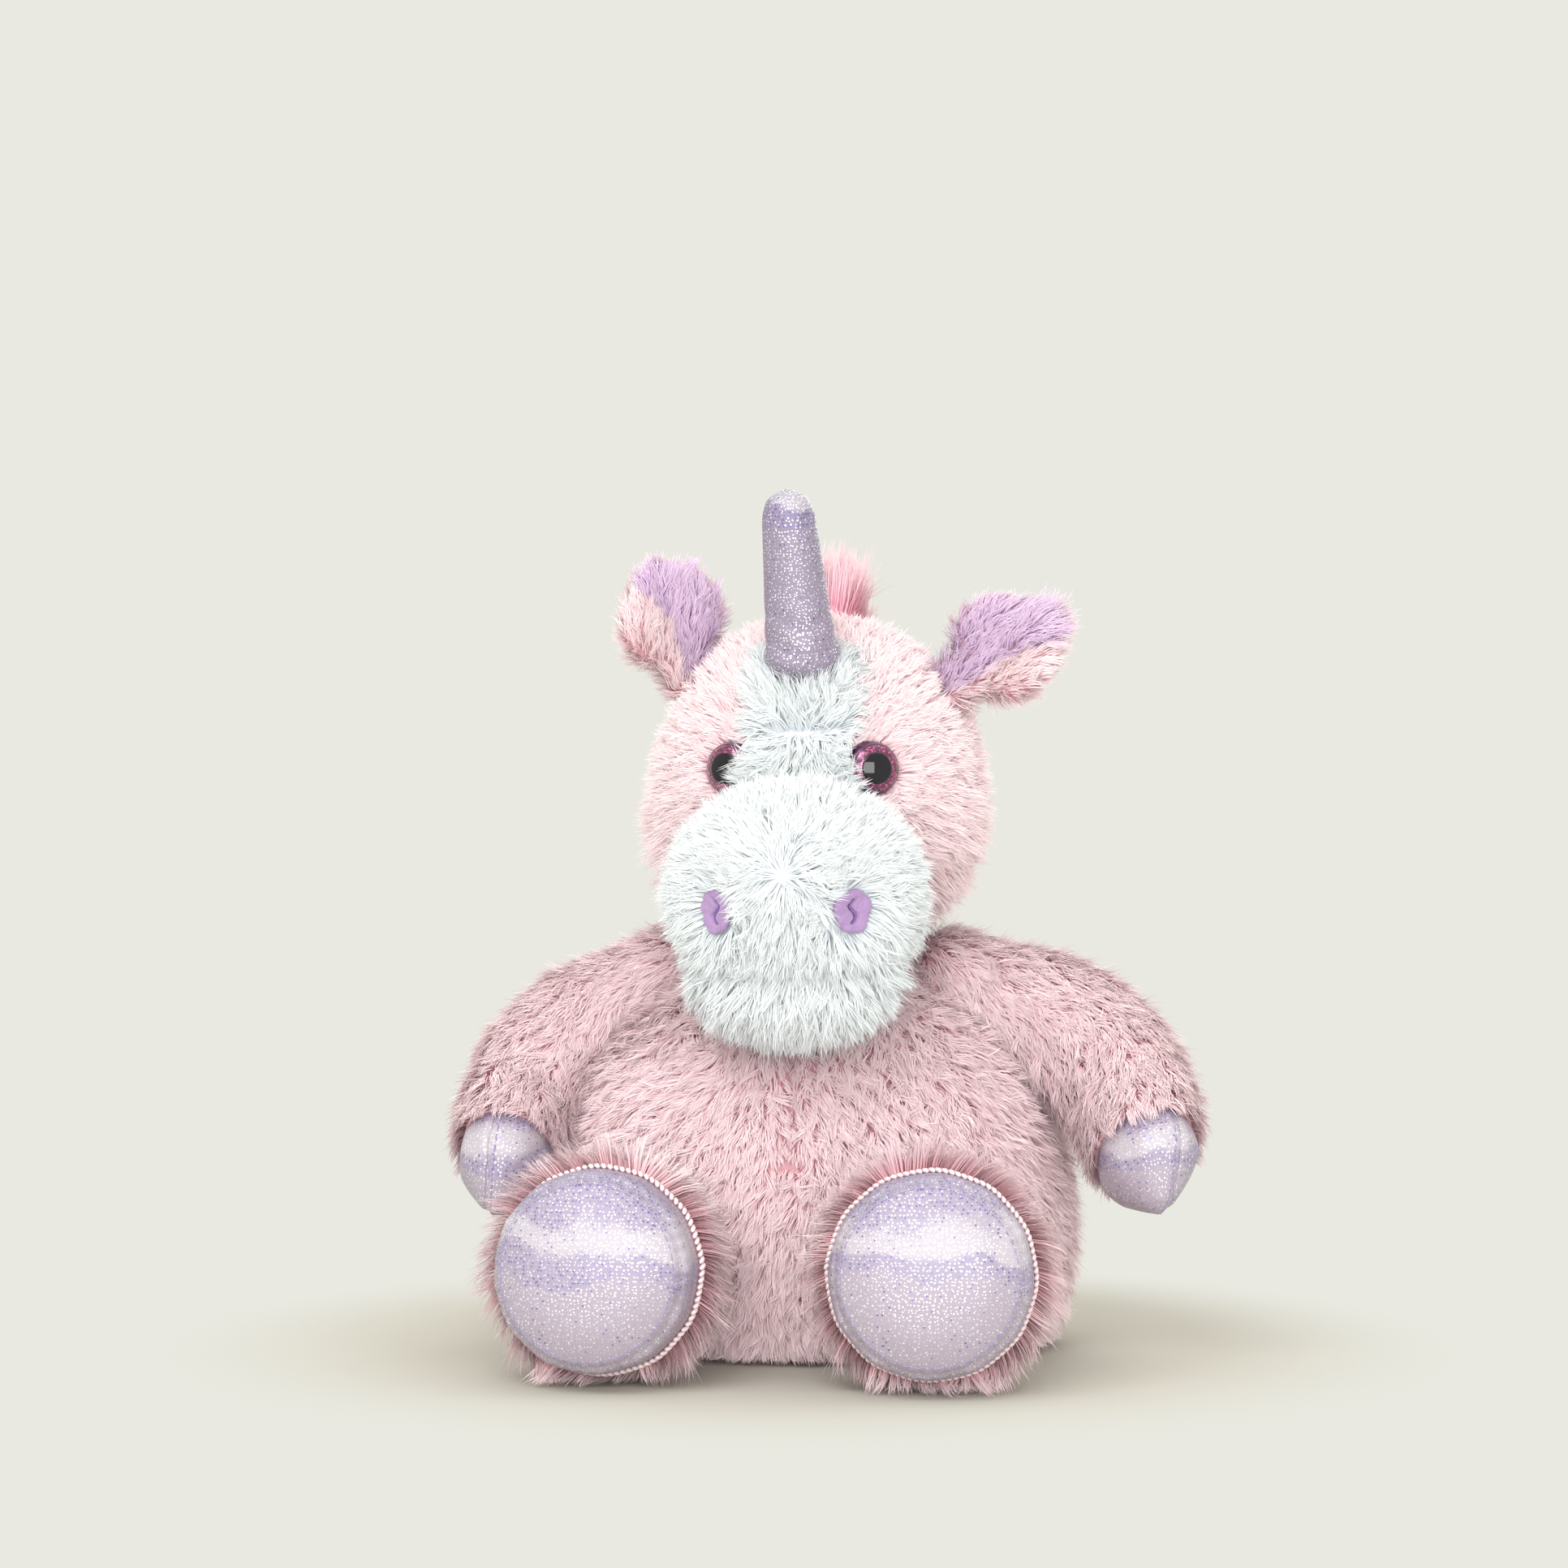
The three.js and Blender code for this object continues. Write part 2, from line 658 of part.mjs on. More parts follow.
// ---------- Ears: +Z along the ear, the lining facing -Y, the turning point at the origin ----------
function earGroup(side, sign) {
  const group = new THREE.Group();
  group.position.copy(earPivot[side]);
  group.rotation.order = "YZX";
  group.rotation.y = THREE.MathUtils.degToRad(sign * earPose[side].lean);
  group.rotation.z = THREE.MathUtils.degToRad(earPose[side].twist);

  // A flat stalk that swells into a leaf. Its rims curl forwards.
  const leaf = (back, front) => {
    const points = [
      [0, 0],
      [ear.stalk, 0],
    ];
    for (const [share, width] of earOutline) points.push([ear.halfWidth * width, ear.length * share]);
    points.push([0, ear.length]);
    const curled = moved(turned(points, 8), (p) => {
      const reach = Math.hypot(p.x, p.y) || 1;
      const curl = ear.cup * (p.x / ear.halfWidth) ** 2;
      p.y = (back + front) / 2 - curl + ((p.y / reach) * (back - front)) / 2;
    });
    return solid(curled);
  };
  group.add(
    piece(`ear_outer_${side}`, leaf(ear.thickness, 0), material.headPlush),
    piece(`ear_lining_${side}`, leaf(-SEAM_GAP, -SEAM_GAP - ear.lining), material.lilacPlush),
  );
  return group;
}

// The radius of the stuffed ball inside a limb's root.
function ballOf(limb) {
  return (limb.rootRadius - PLUSH) * limb.ballShare;
}

// ---------- Arms ----------
function armPieces(side, sign) {
  const pivot = shoulderPivot[side];
  const line = [pivot.clone()];
  for (const [out, ahead, down] of armLine[side]) line.push(pivot.clone().add(v(sign * out, -ahead, -down)));
  const curve = new THREE.CatmullRomCurve3(line, false, "centripetal");
  const length = curve.getLength();
  const end = curve.getPointAt(1);
  const endWay = curve.getTangentAt(1);
  const upright = v(0, 0.35, 1);
  const inwards = v(-sign, 0, 0);

  const sizeAt = (t) => {
    const grown = Math.min(1, t / arm.grownBy);
    const round = roundEnd(t, arm.wide / length);
    const from = arm.rootRadius * arm.neckShare;
    return [(from + (arm.wide - from) * grown) * round, (from + (arm.flat - from) * grown) * round];
  };
  const poses = steps(0, -arm.forwardSwing, 6).flatMap((swing) =>
    steps(0, -arm.raise, 1).map((raise) => [
      [RIGHT, swing],
      [v(0, sign, 0), raise],
    ]),
  );
  const kept = torsoFrom(pivot, poses).subtract(ball(arm.rootRadius, pivot));
  const bulk = (inset) => {
    const smaller = (t) => sizeAt(t).map((half) => Math.max(0.5, half - inset));
    return ball(arm.rootRadius - inset, pivot)
      .add(tube(curve, upright, smaller, 8, 8))
      .subtract(beyond(end, endWay, -inset));
  };

  const wrist = 1 - arm.hoofLength / length;
  const wristAt = curve.getPointAt(wrist);
  const wristWay = curve.getTangentAt(wrist);
  const seamWay = wristWay.clone().cross(upright).normalize().multiplyScalar(sign);
  const sleeve = bulk(0)
    .subtract(bulk(PLUSH))
    .subtract(beyond(wristAt, wristWay))
    .subtract(beyond(pivot, inwards, arm.openBack))
    .subtract(kept);
  const hoof = bulk(0).subtract(bulk(GLITTER)).intersect(beyond(wristAt, wristWay, SEAM_GAP));
  const filling = bulk(PLUSH + SEAM_GAP)
    .subtract(room(ballOf(arm), pivot))
    .subtract(beyond(pivot, inwards))
    .subtract(kept);
  const outerHoof = hoof.intersect(beyond(wristAt, seamWay, SEAM_GAP));
  return [
    piece(`arm_sleeve_${side}`, sleeve, material.bodyPlush),
    piece(`arm_stuffing_${side}`, filling, material.filling),
    piece(`hoof_outer_${side}`, outerHoof, material.glitterCloth),
    piece(`hoof_inner_${side}`, hoof.subtract(beyond(wristAt, seamWay)), material.glitterCloth),
    piece(`shoulder_stuffing_${side}`, ball(ballOf(arm), pivot), material.filling),
  ];
}

// ---------- Legs ----------
function legPieces(side, sign) {
  const pivot = hipPivot[side];
  const toeOut = THREE.MathUtils.degToRad(sign * leg.toeOut);
  const rise = leg.footHeight - pivot.z;
  const way = v(Math.sin(toeOut) * leg.length, -Math.cos(toeOut) * leg.length, rise).normalize();
  const backwards = way.clone().negate();
  const waist = Math.sqrt(leg.rootRadius ** 2 - leg.waistRadius ** 2);
  const bulk = (inset) => {
    const root = leg.rootRadius - inset;
    const foot = leg.footRadius - inset;
    const bulge = leg.bulge - inset;
    const points = [
      [0, -root],
      [root * Math.SQRT1_2, -root * Math.SQRT1_2],
      [root, 0],
      [leg.waistRadius - inset, waist],
      [leg.kneeRadius - inset, leg.length * leg.kneeShare],
      [foot, leg.length - leg.bandLength],
      [foot, leg.length],
      [foot * 0.6, leg.length + bulge * 0.8],
      [0, leg.length + bulge],
    ];
    return stood(turned(points, 12), pivot, way);
  };
  const poses = steps(-sign * leg.close, sign * leg.splay, 2).flatMap((splay) =>
    steps(0, -leg.lift, 2).map((lift) => [
      [UP, splay],
      [RIGHT, lift],
    ]),
  );
  const kept = torsoFrom(pivot, poses).subtract(ball(leg.rootRadius, pivot));

  const band = leg.length - leg.bandLength;
  const sleeve = bulk(0)
    .subtract(bulk(PLUSH))
    .subtract(beyond(pivot, way, band))
    .subtract(beyond(pivot, backwards, leg.openBack))
    .subtract(kept);
  const hoof = bulk(0)
    .subtract(bulk(GLITTER))
    .intersect(beyond(pivot, way, band + SEAM_GAP));
  const sole = (grow) =>
    rod(leg.soleRadius + grow, leg.length - SEAM_GAP * 2 - grow, leg.length + 2 * leg.bulge, pivot, way, 12);
  const filling = bulk(PLUSH + SEAM_GAP)
    .subtract(room(ballOf(leg), pivot))
    .subtract(beyond(pivot, backwards))
    .subtract(kept);
  const loop = new THREE.TorusGeometry(leg.footRadius + footSeam.radius + SEAM_GAP, footSeam.radius, 4, 12);
  const seam = stood(loop.rotateZ(Math.PI / 2).translate(0, 0, band), pivot, way);
  return [
    piece(`leg_sleeve_${side}`, sleeve, material.bodyPlush),
    piece(`leg_stuffing_${side}`, filling, material.filling),
    piece(`foot_band_${side}`, hoof.subtract(sole(SEAM_GAP)), material.glitterCloth),
    piece(`foot_sole_${side}`, hoof.intersect(sole(0)), material.glitterCloth),
    piece(`foot_seam_${side}`, seam, material.paleThread),
    piece(`hip_stuffing_${side}`, ball(ballOf(leg), pivot), material.filling),
  ];
}

// ---------- Tail ----------
function tailPiece() {
  const line = [tailPivot.clone()];
  for (const [out, back, down] of tailLine) line.push(tailPivot.clone().add(v(out, back, -down)));
  const curve = new THREE.CatmullRomCurve3(line, false, "centripetal");
  const sizeAt = (t) => {
    const full = (0.6 + 0.4 * Math.sin(Math.PI * t)) * roundEnd(t, 0.3);
    return [tail.halfWidth * full, tail.flat * full];
  };
  const made = ball(tail.ball, tailPivot).add(tube(curve, RIGHT, sizeAt, 8, 6));
  return piece("tail", made, material.maneHair);
}

// ---------- The whole toy ----------
const unicorn = new THREE.Group();
headGroup.add(...headPieces(), hornGroup());
unicorn.add(...torsoPieces(), ...neckPieces(), headGroup, tailPiece());
for (const [side, sign] of Object.entries(SIDES)) {
  headGroup.add(eyeGroup(side), earGroup(side, sign));
  unicorn.add(...armPieces(side, sign), ...legPieces(side, sign));
}

export default unicorn;
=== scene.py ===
"""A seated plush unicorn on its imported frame: padded forms, glitter cloth, eyes, felt, thread and pile."""
import math

import bmesh
import bpy
import numpy as np
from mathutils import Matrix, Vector
from mathutils.bvhtree import BVHTree
from mathutils.kdtree import KDTree


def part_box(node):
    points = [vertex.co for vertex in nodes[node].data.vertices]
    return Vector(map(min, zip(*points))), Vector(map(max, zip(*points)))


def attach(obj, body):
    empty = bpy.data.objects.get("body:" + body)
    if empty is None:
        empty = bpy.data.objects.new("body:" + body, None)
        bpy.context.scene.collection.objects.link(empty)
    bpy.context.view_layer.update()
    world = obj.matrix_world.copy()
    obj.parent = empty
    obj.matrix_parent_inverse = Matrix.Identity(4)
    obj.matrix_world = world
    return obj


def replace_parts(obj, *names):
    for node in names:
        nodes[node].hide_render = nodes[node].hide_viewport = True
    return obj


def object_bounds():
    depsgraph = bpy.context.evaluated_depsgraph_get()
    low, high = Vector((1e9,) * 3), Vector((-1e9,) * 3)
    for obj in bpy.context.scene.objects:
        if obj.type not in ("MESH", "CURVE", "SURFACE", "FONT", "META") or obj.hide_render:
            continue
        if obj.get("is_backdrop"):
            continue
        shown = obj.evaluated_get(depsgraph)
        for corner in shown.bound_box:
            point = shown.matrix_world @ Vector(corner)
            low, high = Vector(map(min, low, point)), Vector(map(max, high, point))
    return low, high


MM = 0.001
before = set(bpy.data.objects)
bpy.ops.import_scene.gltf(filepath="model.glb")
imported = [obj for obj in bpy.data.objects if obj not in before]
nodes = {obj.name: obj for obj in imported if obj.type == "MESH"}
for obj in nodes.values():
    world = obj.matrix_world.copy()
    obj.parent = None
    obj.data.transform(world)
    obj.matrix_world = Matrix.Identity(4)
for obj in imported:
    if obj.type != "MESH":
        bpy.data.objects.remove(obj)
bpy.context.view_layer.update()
scene = bpy.context.scene
rng = np.random.default_rng(20)

SIDES = {"left": 1, "right": -1}
HEAD = np.array([4, 0, 219]) * MM  # the middle of the head
FLOOR = 0.4 * MM  # nothing soft goes lower


def srgb(r, g, b):
    """A display colour, 0 to 255, as linear light."""

    def linear(c):
        return c / 255 / 12.92 if c < 10.3 else ((c / 255 + 0.055) / 1.055) ** 2.4

    return (linear(r), linear(g), linear(b), 1)


# ---------- Materials ----------
class Shader:
    """A material with a Principled shader, and short ways to add and join nodes."""

    def __init__(self, name, color=None, rough=0.8, **sockets):
        self.material = bpy.data.materials.new(name)
        self.material.use_nodes = True
        self.nodes = self.material.node_tree.nodes
        self.links = self.material.node_tree.links
        self.bsdf = self.nodes["Principled BSDF"]
        if color:
            self.bsdf.inputs["Base Color"].default_value = color
        self.bsdf.inputs["Roughness"].default_value = rough
        for key, value in sockets.items():
            self.bsdf.inputs[key.replace("_", " ")].default_value = value

    def add(self, kind, **values):
        node = self.nodes.new(kind)
        for key, value in values.items():
            if hasattr(node, key):
                setattr(node, key, value)
            else:
                node.inputs[key.replace("_", " ")].default_value = value
        return node

    def join(self, start, end):
        self.links.new(start, end)

    def fill(self, socket, value):
        if isinstance(value, bpy.types.NodeSocket):
            self.join(value, socket)
        else:
            socket.default_value = value

    def math(self, operation, first, second):
        node = self.add("ShaderNodeMath", operation=operation)
        self.fill(node.inputs[0], first)
        self.fill(node.inputs[1], second)
        return node.outputs[0]

    def times(self, first, second):
        return self.math("MULTIPLY", first, second)

    def mix(self, amount, first, second):
        node = self.add("ShaderNodeMix", data_type="RGBA")
        self.fill(node.inputs[0], amount)
        self.fill(node.inputs[6], first)
        self.fill(node.inputs[7], second)
        return node.outputs[2]

    def ramp(self, amount, low, high):
        node = self.add("ShaderNodeMapRange", interpolation_type="SMOOTHSTEP")
        self.join(amount, node.inputs["Value"])
        node.inputs["From Min"].default_value = low
        node.inputs["From Max"].default_value = high
        return node.outputs["Result"]

    def bump(self, height, distance, strength=1.0):
        node = self.add("ShaderNodeBump", Strength=strength, Distance=distance)
        self.join(height, node.inputs["Height"])
        self.drive("Normal", node.outputs["Normal"])

    def place(self):
        return self.add("ShaderNodeTexCoord").outputs["Object"]

    def map(self, name):
        return self.add("ShaderNodeUVMap", uv_map=name).outputs["UV"]

    def texture(self, kind, vector=None, **values):
        node = self.add(f"ShaderNodeTex{kind}", **values)
        self.join(vector or self.place(), node.inputs["Vector"])
        return node.outputs

    def noise(self, scale, detail=2.0, vector=None):
        return self.texture("Noise", vector, Scale=scale, Detail=detail)["Fac"]

    def split(self, kind, value):
        node = self.add(f"ShaderNodeSeparate{kind}")
        self.join(value, node.inputs[0])
        return node.outputs

    def drive(self, socket, value):
        self.join(value, self.bsdf.inputs[socket])

    def base(self, color):
        self.drive("Base Color", color)


def pile_material(name, root_shade_and_glow, tip, deep=0.75):
    """Pile whose colour runs along each strand and differs a little from strand to strand. The darker, deeper
    root colour is painted shade deep in the pile and painted light passing pink through the fibres.
    """
    s = Shader(name, rough=0.85, Specular_IOR_Level=0.15, Sheen_Weight=0.25, Sheen_Roughness=0.5)
    strand = s.split("XYZ", s.map("OFBake"))
    color = s.mix(s.ramp(strand["Y"], -0.1, deep), root_shade_and_glow, tip)
    shade = s.add("ShaderNodeHueSaturation")
    value = s.add("ShaderNodeMapRange")
    s.join(strand["X"], value.inputs["Value"])
    value.inputs["To Min"].default_value = 0.95
    value.inputs["To Max"].default_value = 1.03
    s.join(value.outputs["Result"], shade.inputs["Value"])
    s.join(color, shade.inputs["Color"])
    s.base(shade.outputs["Color"])
    return s.material


def knit_material(name, dark, light):
    """The knitted backing that shows between tufts: rows of small loops."""
    s = Shader(name, rough=0.95, Specular_IOR_Level=0.1, Sheen_Weight=0.2)
    loop = s.texture("Voronoi", Scale=900.0)["Distance"]
    s.base(s.mix(s.times(loop, s.noise(60.0, 3.0)), dark, light))
    s.bump(loop, 0.4 * MM, 0.6)
    return s.material


def glitter_material(name, cloth, foil, spark):
    """Lavender cloth with a close pattern of small foil dots, each with its own tilt and tint."""
    s = Shader(name, rough=0.55, Coat_Weight=0.4, Coat_Roughness=0.38)
    cloth_uv = s.map("cloth")
    clumps = s.noise(45.0, 2.0, cloth_uv)
    dots = s.texture("Voronoi", cloth_uv, voronoi_dimensions="2D", Scale=740.0, Randomness=0.82)
    size = s.math("ADD", s.times(clumps, 0.2), 0.13)
    inside = s.math("LESS_THAN", dots["Distance"], size)
    tint = s.split("Color", dots["Color"])
    weave = s.noise(2400.0, 1.0, cloth_uv)
    # The foil is palest in one band across the piece and violet beside it: a painted highlight for the
    # softbox's reflection, and a painted reflection of dark surroundings in the violet.
    cloudy = s.times(s.math("SUBTRACT", s.noise(30.0, 3.0), 0.5), 0.55)
    level = s.math("ADD", s.split("XYZ", s.map("band"))["X"], cloudy)
    painted_highlight = s.times(s.ramp(level, 0.58, 0.64), s.math("SUBTRACT", 1.0, s.ramp(level, 0.72, 0.84)))
    painted_reflection = s.times(s.ramp(level, 0.42, 0.5), s.math("SUBTRACT", 1.0, painted_highlight))
    ground = s.mix(weave, cloth[0], cloth[1])
    ground = s.mix(s.times(painted_reflection, 0.22), ground, spark)
    ground = s.mix(s.times(painted_highlight, 0.2), ground, foil[1])
    dot = s.mix(s.math("GREATER_THAN", tint[0], 0.55), foil[0], foil[1])
    dot = s.mix(painted_highlight, dot, foil[1])
    # A few violet dots everywhere are the foil's own; more of them fall in the painted reflection band.
    rare = s.math("SUBTRACT", 0.95, s.times(painted_reflection, 0.3))
    dot = s.mix(s.math("GREATER_THAN", tint[1], rare), dot, spark)
    s.base(s.mix(inside, ground, dot))
    s.drive("Metallic", s.times(inside, s.math("ADD", s.times(tint[2], 0.5), 0.35)))
    s.drive("Roughness", s.math("SUBTRACT", 0.62, s.times(inside, 0.34)))
    tilt = s.times(tint[2], s.times(dots["Distance"], 2.2))
    s.bump(s.math("ADD", s.times(weave, 0.3), s.times(inside, tilt)), 0.22 * MM, 0.7)
    return s.material


def felt_material(name, dark, light):
    """Matted fibres in soft patches."""
    s = Shader(name, rough=0.95, Specular_IOR_Level=0.1, Sheen_Weight=0.4, Sheen_Roughness=0.4)
    fibre = s.noise(1400.0, 5.0)
    patch = s.noise(180.0, 2.0)
    s.base(s.mix(s.math("ADD", s.times(fibre, 0.7), s.times(patch, 0.3)), dark, light))
    s.bump(fibre, 0.5 * MM, 0.8)
    return s.material


def thread_material(name, dark, light):
    """Twisted sewing thread."""
    s = Shader(name, rough=0.6, Specular_IOR_Level=0.35, Sheen_Weight=0.2)
    twist = s.texture("Wave", Scale=700.0, Distortion=2.0, bands_direction="DIAGONAL")["Fac"]
    s.base(s.mix(twist, dark, light))
    s.bump(twist, 0.12 * MM, 0.6)
    return s.material


def satin_material(name, color, shade):
    """Ribbon with a fine warp."""
    s = Shader(name, rough=0.35, Sheen_Weight=0.1)
    warp = s.texture("Wave", Scale=1500.0, bands_direction="X")["Fac"]
    s.base(s.mix(s.times(warp, 0.4), color, shade))
    s.bump(warp, 0.05 * MM, 0.4)
    return s.material


def plastic_material(name, color, light, rough, coat=0.0):
    s = Shader(name, rough=rough, Coat_Weight=coat, Coat_Roughness=0.03)
    s.base(s.mix(s.noise(300.0, 3.0), color, light))
    return s.material


def iris_material(name):
    """Pink glitter flakes in dark purple lacquer, under a clear coat."""
    s = Shader(name, rough=0.3, Coat_Weight=1.0, Coat_Roughness=0.02)
    tint = s.split("Color", s.texture("Voronoi", Scale=1900.0)["Color"])
    lacquer = s.mix(tint[1], srgb(52, 16, 44), srgb(92, 26, 68))
    flake = s.math("GREATER_THAN", tint[0], 0.82)
    s.base(s.mix(flake, lacquer, srgb(226, 92, 150)))
    s.drive("Metallic", s.times(flake, 0.7))
    return s.material


LOOKS = {  # material: how it is made, and from what
    # For pile the first colour is the root's: darker and deeper, as painted shade in the pile and painted
    # light through the fibres.
    "body_plush": (pile_material, srgb(240, 178, 188), srgb(240, 218, 222)),
    "head_plush": (pile_material, srgb(242, 190, 198), srgb(240, 220, 223)),
    "white_plush": (pile_material, srgb(218, 224, 230), srgb(226, 230, 231)),
    "lilac_plush": (pile_material, srgb(188, 144, 198), srgb(222, 198, 222)),
    "mane_hair": (pile_material, srgb(238, 134, 166), srgb(244, 208, 216), 0.95),
    "glitter_cloth": (
        glitter_material,
        (srgb(154, 141, 157), srgb(170, 158, 172)),
        (srgb(204, 199, 206), srgb(232, 231, 233)),
        srgb(116, 110, 166),
    ),
    # horn_glitter is the glitter cloth in darker colours: painted shade on the horn.
    "horn_glitter": (
        glitter_material,
        (srgb(126, 114, 134), srgb(142, 130, 150)),
        (srgb(186, 179, 194), srgb(236, 236, 238)),
        srgb(98, 88, 146),
    ),
    "felt": (felt_material, srgb(146, 114, 162), srgb(184, 156, 194)),
    "purple_thread": (thread_material, srgb(104, 66, 140), srgb(150, 112, 184)),
    "violet_thread": (thread_material, srgb(122, 112, 168), srgb(168, 160, 200)),
    "pale_thread": (thread_material, srgb(240, 212, 218), srgb(250, 236, 238)),
    "white_thread": (thread_material, srgb(206, 208, 212), srgb(236, 238, 240)),
    # backing is a darker pink than the pile: painted shade under the pile.
    "backing": (knit_material, srgb(206, 158, 166), srgb(236, 200, 206)),
    "pale_backing": (knit_material, srgb(222, 226, 232), srgb(246, 248, 250)),
    "filling": (felt_material, srgb(222, 222, 218), srgb(250, 250, 246)),
    "satin": (satin_material, srgb(248, 248, 246), srgb(224, 224, 224)),
    "pink_glitter": (iris_material,),
    "black_plastic": (plastic_material, srgb(10, 8, 12), srgb(22, 18, 26), 0.06),
    "rim_plastic": (plastic_material, srgb(58, 22, 54), srgb(84, 34, 76), 0.12, 1.0),
    "clip_plastic": (plastic_material, srgb(228, 226, 218), srgb(244, 243, 238), 0.4),
}
MATERIALS = {name: make(name, *values) for name, (make, *values) in LOOKS.items()}


# ---------- Meshes ----------
def new_object(name, mesh, material=None):
    obj = bpy.data.objects.new(name, mesh)
    scene.collection.objects.link(obj)
    if material:
        mesh.materials.clear()
        mesh.materials.append(MATERIALS[material])
    return obj


def gather(items, value, width=1, kind=float):
    """One value of every item, as an array with a row for each."""
    out = np.empty(len(items) * width, kind)
    items.foreach_get(value, out)
    return out.reshape(-1, width) if width > 1 else out


def points_of(mesh):
    return gather(mesh.vertices, "co", 3)


def set_points(mesh, co):
    mesh.vertices.foreach_set("co", np.asarray(co, float).ravel())
    mesh.update()


def normals_of(mesh):
    return gather(mesh.vertex_normals, "vector", 3)


def cad_points(*names):
    return np.concatenate([points_of(nodes[name].data) for name in names])


def smooth_shaded(mesh):
    mesh.polygons.foreach_set("use_smooth", np.ones(len(mesh.polygons), bool))
    mesh.update()
    return mesh


def with_modifier(mesh, kind, **values):
    """The mesh after one modifier."""
    obj = new_object("work", mesh)
    modifier = obj.modifiers.new("work", kind)
    for key, value in values.items():
        setattr(modifier, key, value)
    graph = bpy.context.evaluated_depsgraph_get()
    made = bpy.data.meshes.new_from_object(obj.evaluated_get(graph))
    bpy.data.objects.remove(obj)
    return made


def relaxed(mesh, steps):
    """Smooths the facets out and gives back the thickness that this costs."""
    co = points_of(mesh)
    edges = gather(mesh.edges, "vertices", 2, np.int64)
    first, second = edges.T
    count = np.bincount(edges.ravel(), minlength=len(co))[:, None]
    start = co.copy()
    for _ in range(steps):
        total = np.zeros_like(co)
        for axis in range(3):
            total[:, axis] = np.bincount(first, co[second, axis], len(co)) + np.bincount(
                second, co[first, axis], len(co)
            )
        co = co + 0.5 * (total / count - co)
    set_points(mesh, co)
    normal = normals_of(mesh)
    lost = ((start - co) * normal).sum(1).mean()
    co = co + normal * lost
    co[:, 2] = np.maximum(co[:, 2], FLOOR)
    set_points(mesh, co)
    return mesh


def to_mesh(bm):
    mesh = bpy.data.meshes.new("part")
    bm.to_mesh(mesh)
    bm.free()
    return mesh


def remeshed(members, voxel):
    """One even closed mesh round the named CAD nodes."""
    bm = bmesh.new()
    for name in members:
        bm.from_mesh(nodes[name].data)
    return with_modifier(to_mesh(bm), "REMESH", mode="VOXEL", voxel_size=voxel * MM)


def closed_mesh(verts, faces):
    """A smooth mesh whose faces all look outwards."""
    mesh = bpy.data.meshes.new("part")
    mesh.from_pydata(verts, [], faces)
    bm = bmesh.new()
    bm.from_mesh(mesh)
    bmesh.ops.recalc_face_normals(bm, faces=bm.faces)
    return smooth_shaded(to_mesh(bm))


def ring_faces(start, rows, corners):
    """Faces of a capped tube whose rings of points begin at start."""
    faces = []
    for row in range(rows - 1):
        a = start + row * corners
        for i in range(corners):
            j = (i + 1) % corners
            faces.append((a + i, a + j, a + corners + j, a + corners + i))
    last = start + (rows - 1) * corners
    return faces + [tuple(range(start, start + corners))[::-1], tuple(range(last, last + corners))]


def puffed(meshes, caps):
    """Air pressure from within rounds all these forms at once. No point moves further than its form's cap."""
    objects = [new_object(f"puff_{i}", mesh) for i, mesh in enumerate(meshes)]
    for obj in objects:
        cloth = obj.modifiers.new("Cloth", "CLOTH")
        cloth.settings.quality = 4
        cloth.settings.use_pressure = True
        cloth.settings.uniform_pressure_force = 4
        cloth.settings.effector_weights.gravity = 0
        cloth.collision_settings.use_collision = False
    for number in range(1, 21):
        scene.frame_set(number)
    graph = bpy.context.evaluated_depsgraph_get()
    for obj, cap in zip(objects, caps):
        after = points_of(obj.evaluated_get(graph).data)
        before = points_of(obj.data)
        move = after - before
        size = np.linalg.norm(move, axis=1, keepdims=True)
        move *= np.minimum(1, cap * MM / np.maximum(size, 1e-9))
        mesh = obj.data
        bpy.data.objects.remove(obj)
        after = before + move
        after[:, 2] = np.maximum(after[:, 2], FLOOR)
        set_points(mesh, after)
    scene.frame_set(1)


def subdivided(mesh, levels=1):
    return smooth_shaded(with_modifier(mesh, "SUBSURF", levels=levels, render_levels=levels))


def cut(mesh, point, normal, keep_front=True):
    """The part of a mesh on one side of a plane."""
    bm = bmesh.new()
    bm.from_mesh(mesh)
    geometry = bm.verts[:] + bm.edges[:] + bm.faces[:]
    bmesh.ops.bisect_plane(
        bm, geom=geometry, plane_co=point, plane_no=normal, clear_inner=keep_front, clear_outer=not keep_front
    )
    return smooth_shaded(to_mesh(bm))


def thick(mesh, amount):
    return smooth_shaded(with_modifier(mesh, "SOLIDIFY", thickness=amount * MM, offset=-1, use_rim=True))


def tree_of(mesh):
    bm = bmesh.new()
    bm.from_mesh(mesh)
    tree = BVHTree.FromBMesh(bm)
    bm.free()
    return tree


def unit(v):
    v = np.asarray(v, float)
    return v / np.maximum(np.linalg.norm(v, axis=-1, keepdims=True), 1e-12)


def disc_frame(name, outside_of):
    """Middle and outward axis of a thin CAD disc."""
    co = cad_points(name)
    middle = co.mean(0)
    axis = np.linalg.svd(co - middle, full_matrices=False)[2][2]
    if axis @ (middle - outside_of) < 0:
        axis = -axis
    return middle, axis


def side_axes(axis):
    """Two directions across an axis: the first is level, the second climbs."""
    level = unit(np.cross(axis, (0, 0, 1)))
    return level, np.cross(level, axis)


def split_off(off, axis):
    """How far each offset goes along an axis, and the part of it across the axis."""
    deep = off @ axis
    return deep, off - deep[..., None] * axis


def finished(name, mesh, material, body, stands_for=()):
    """Names a piece, puts it on its body and hides the CAD nodes that it stands for."""
    obj = new_object(name, mesh, material)
    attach(obj, body)
    if stands_for:
        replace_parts(obj, *stands_for)
    return obj


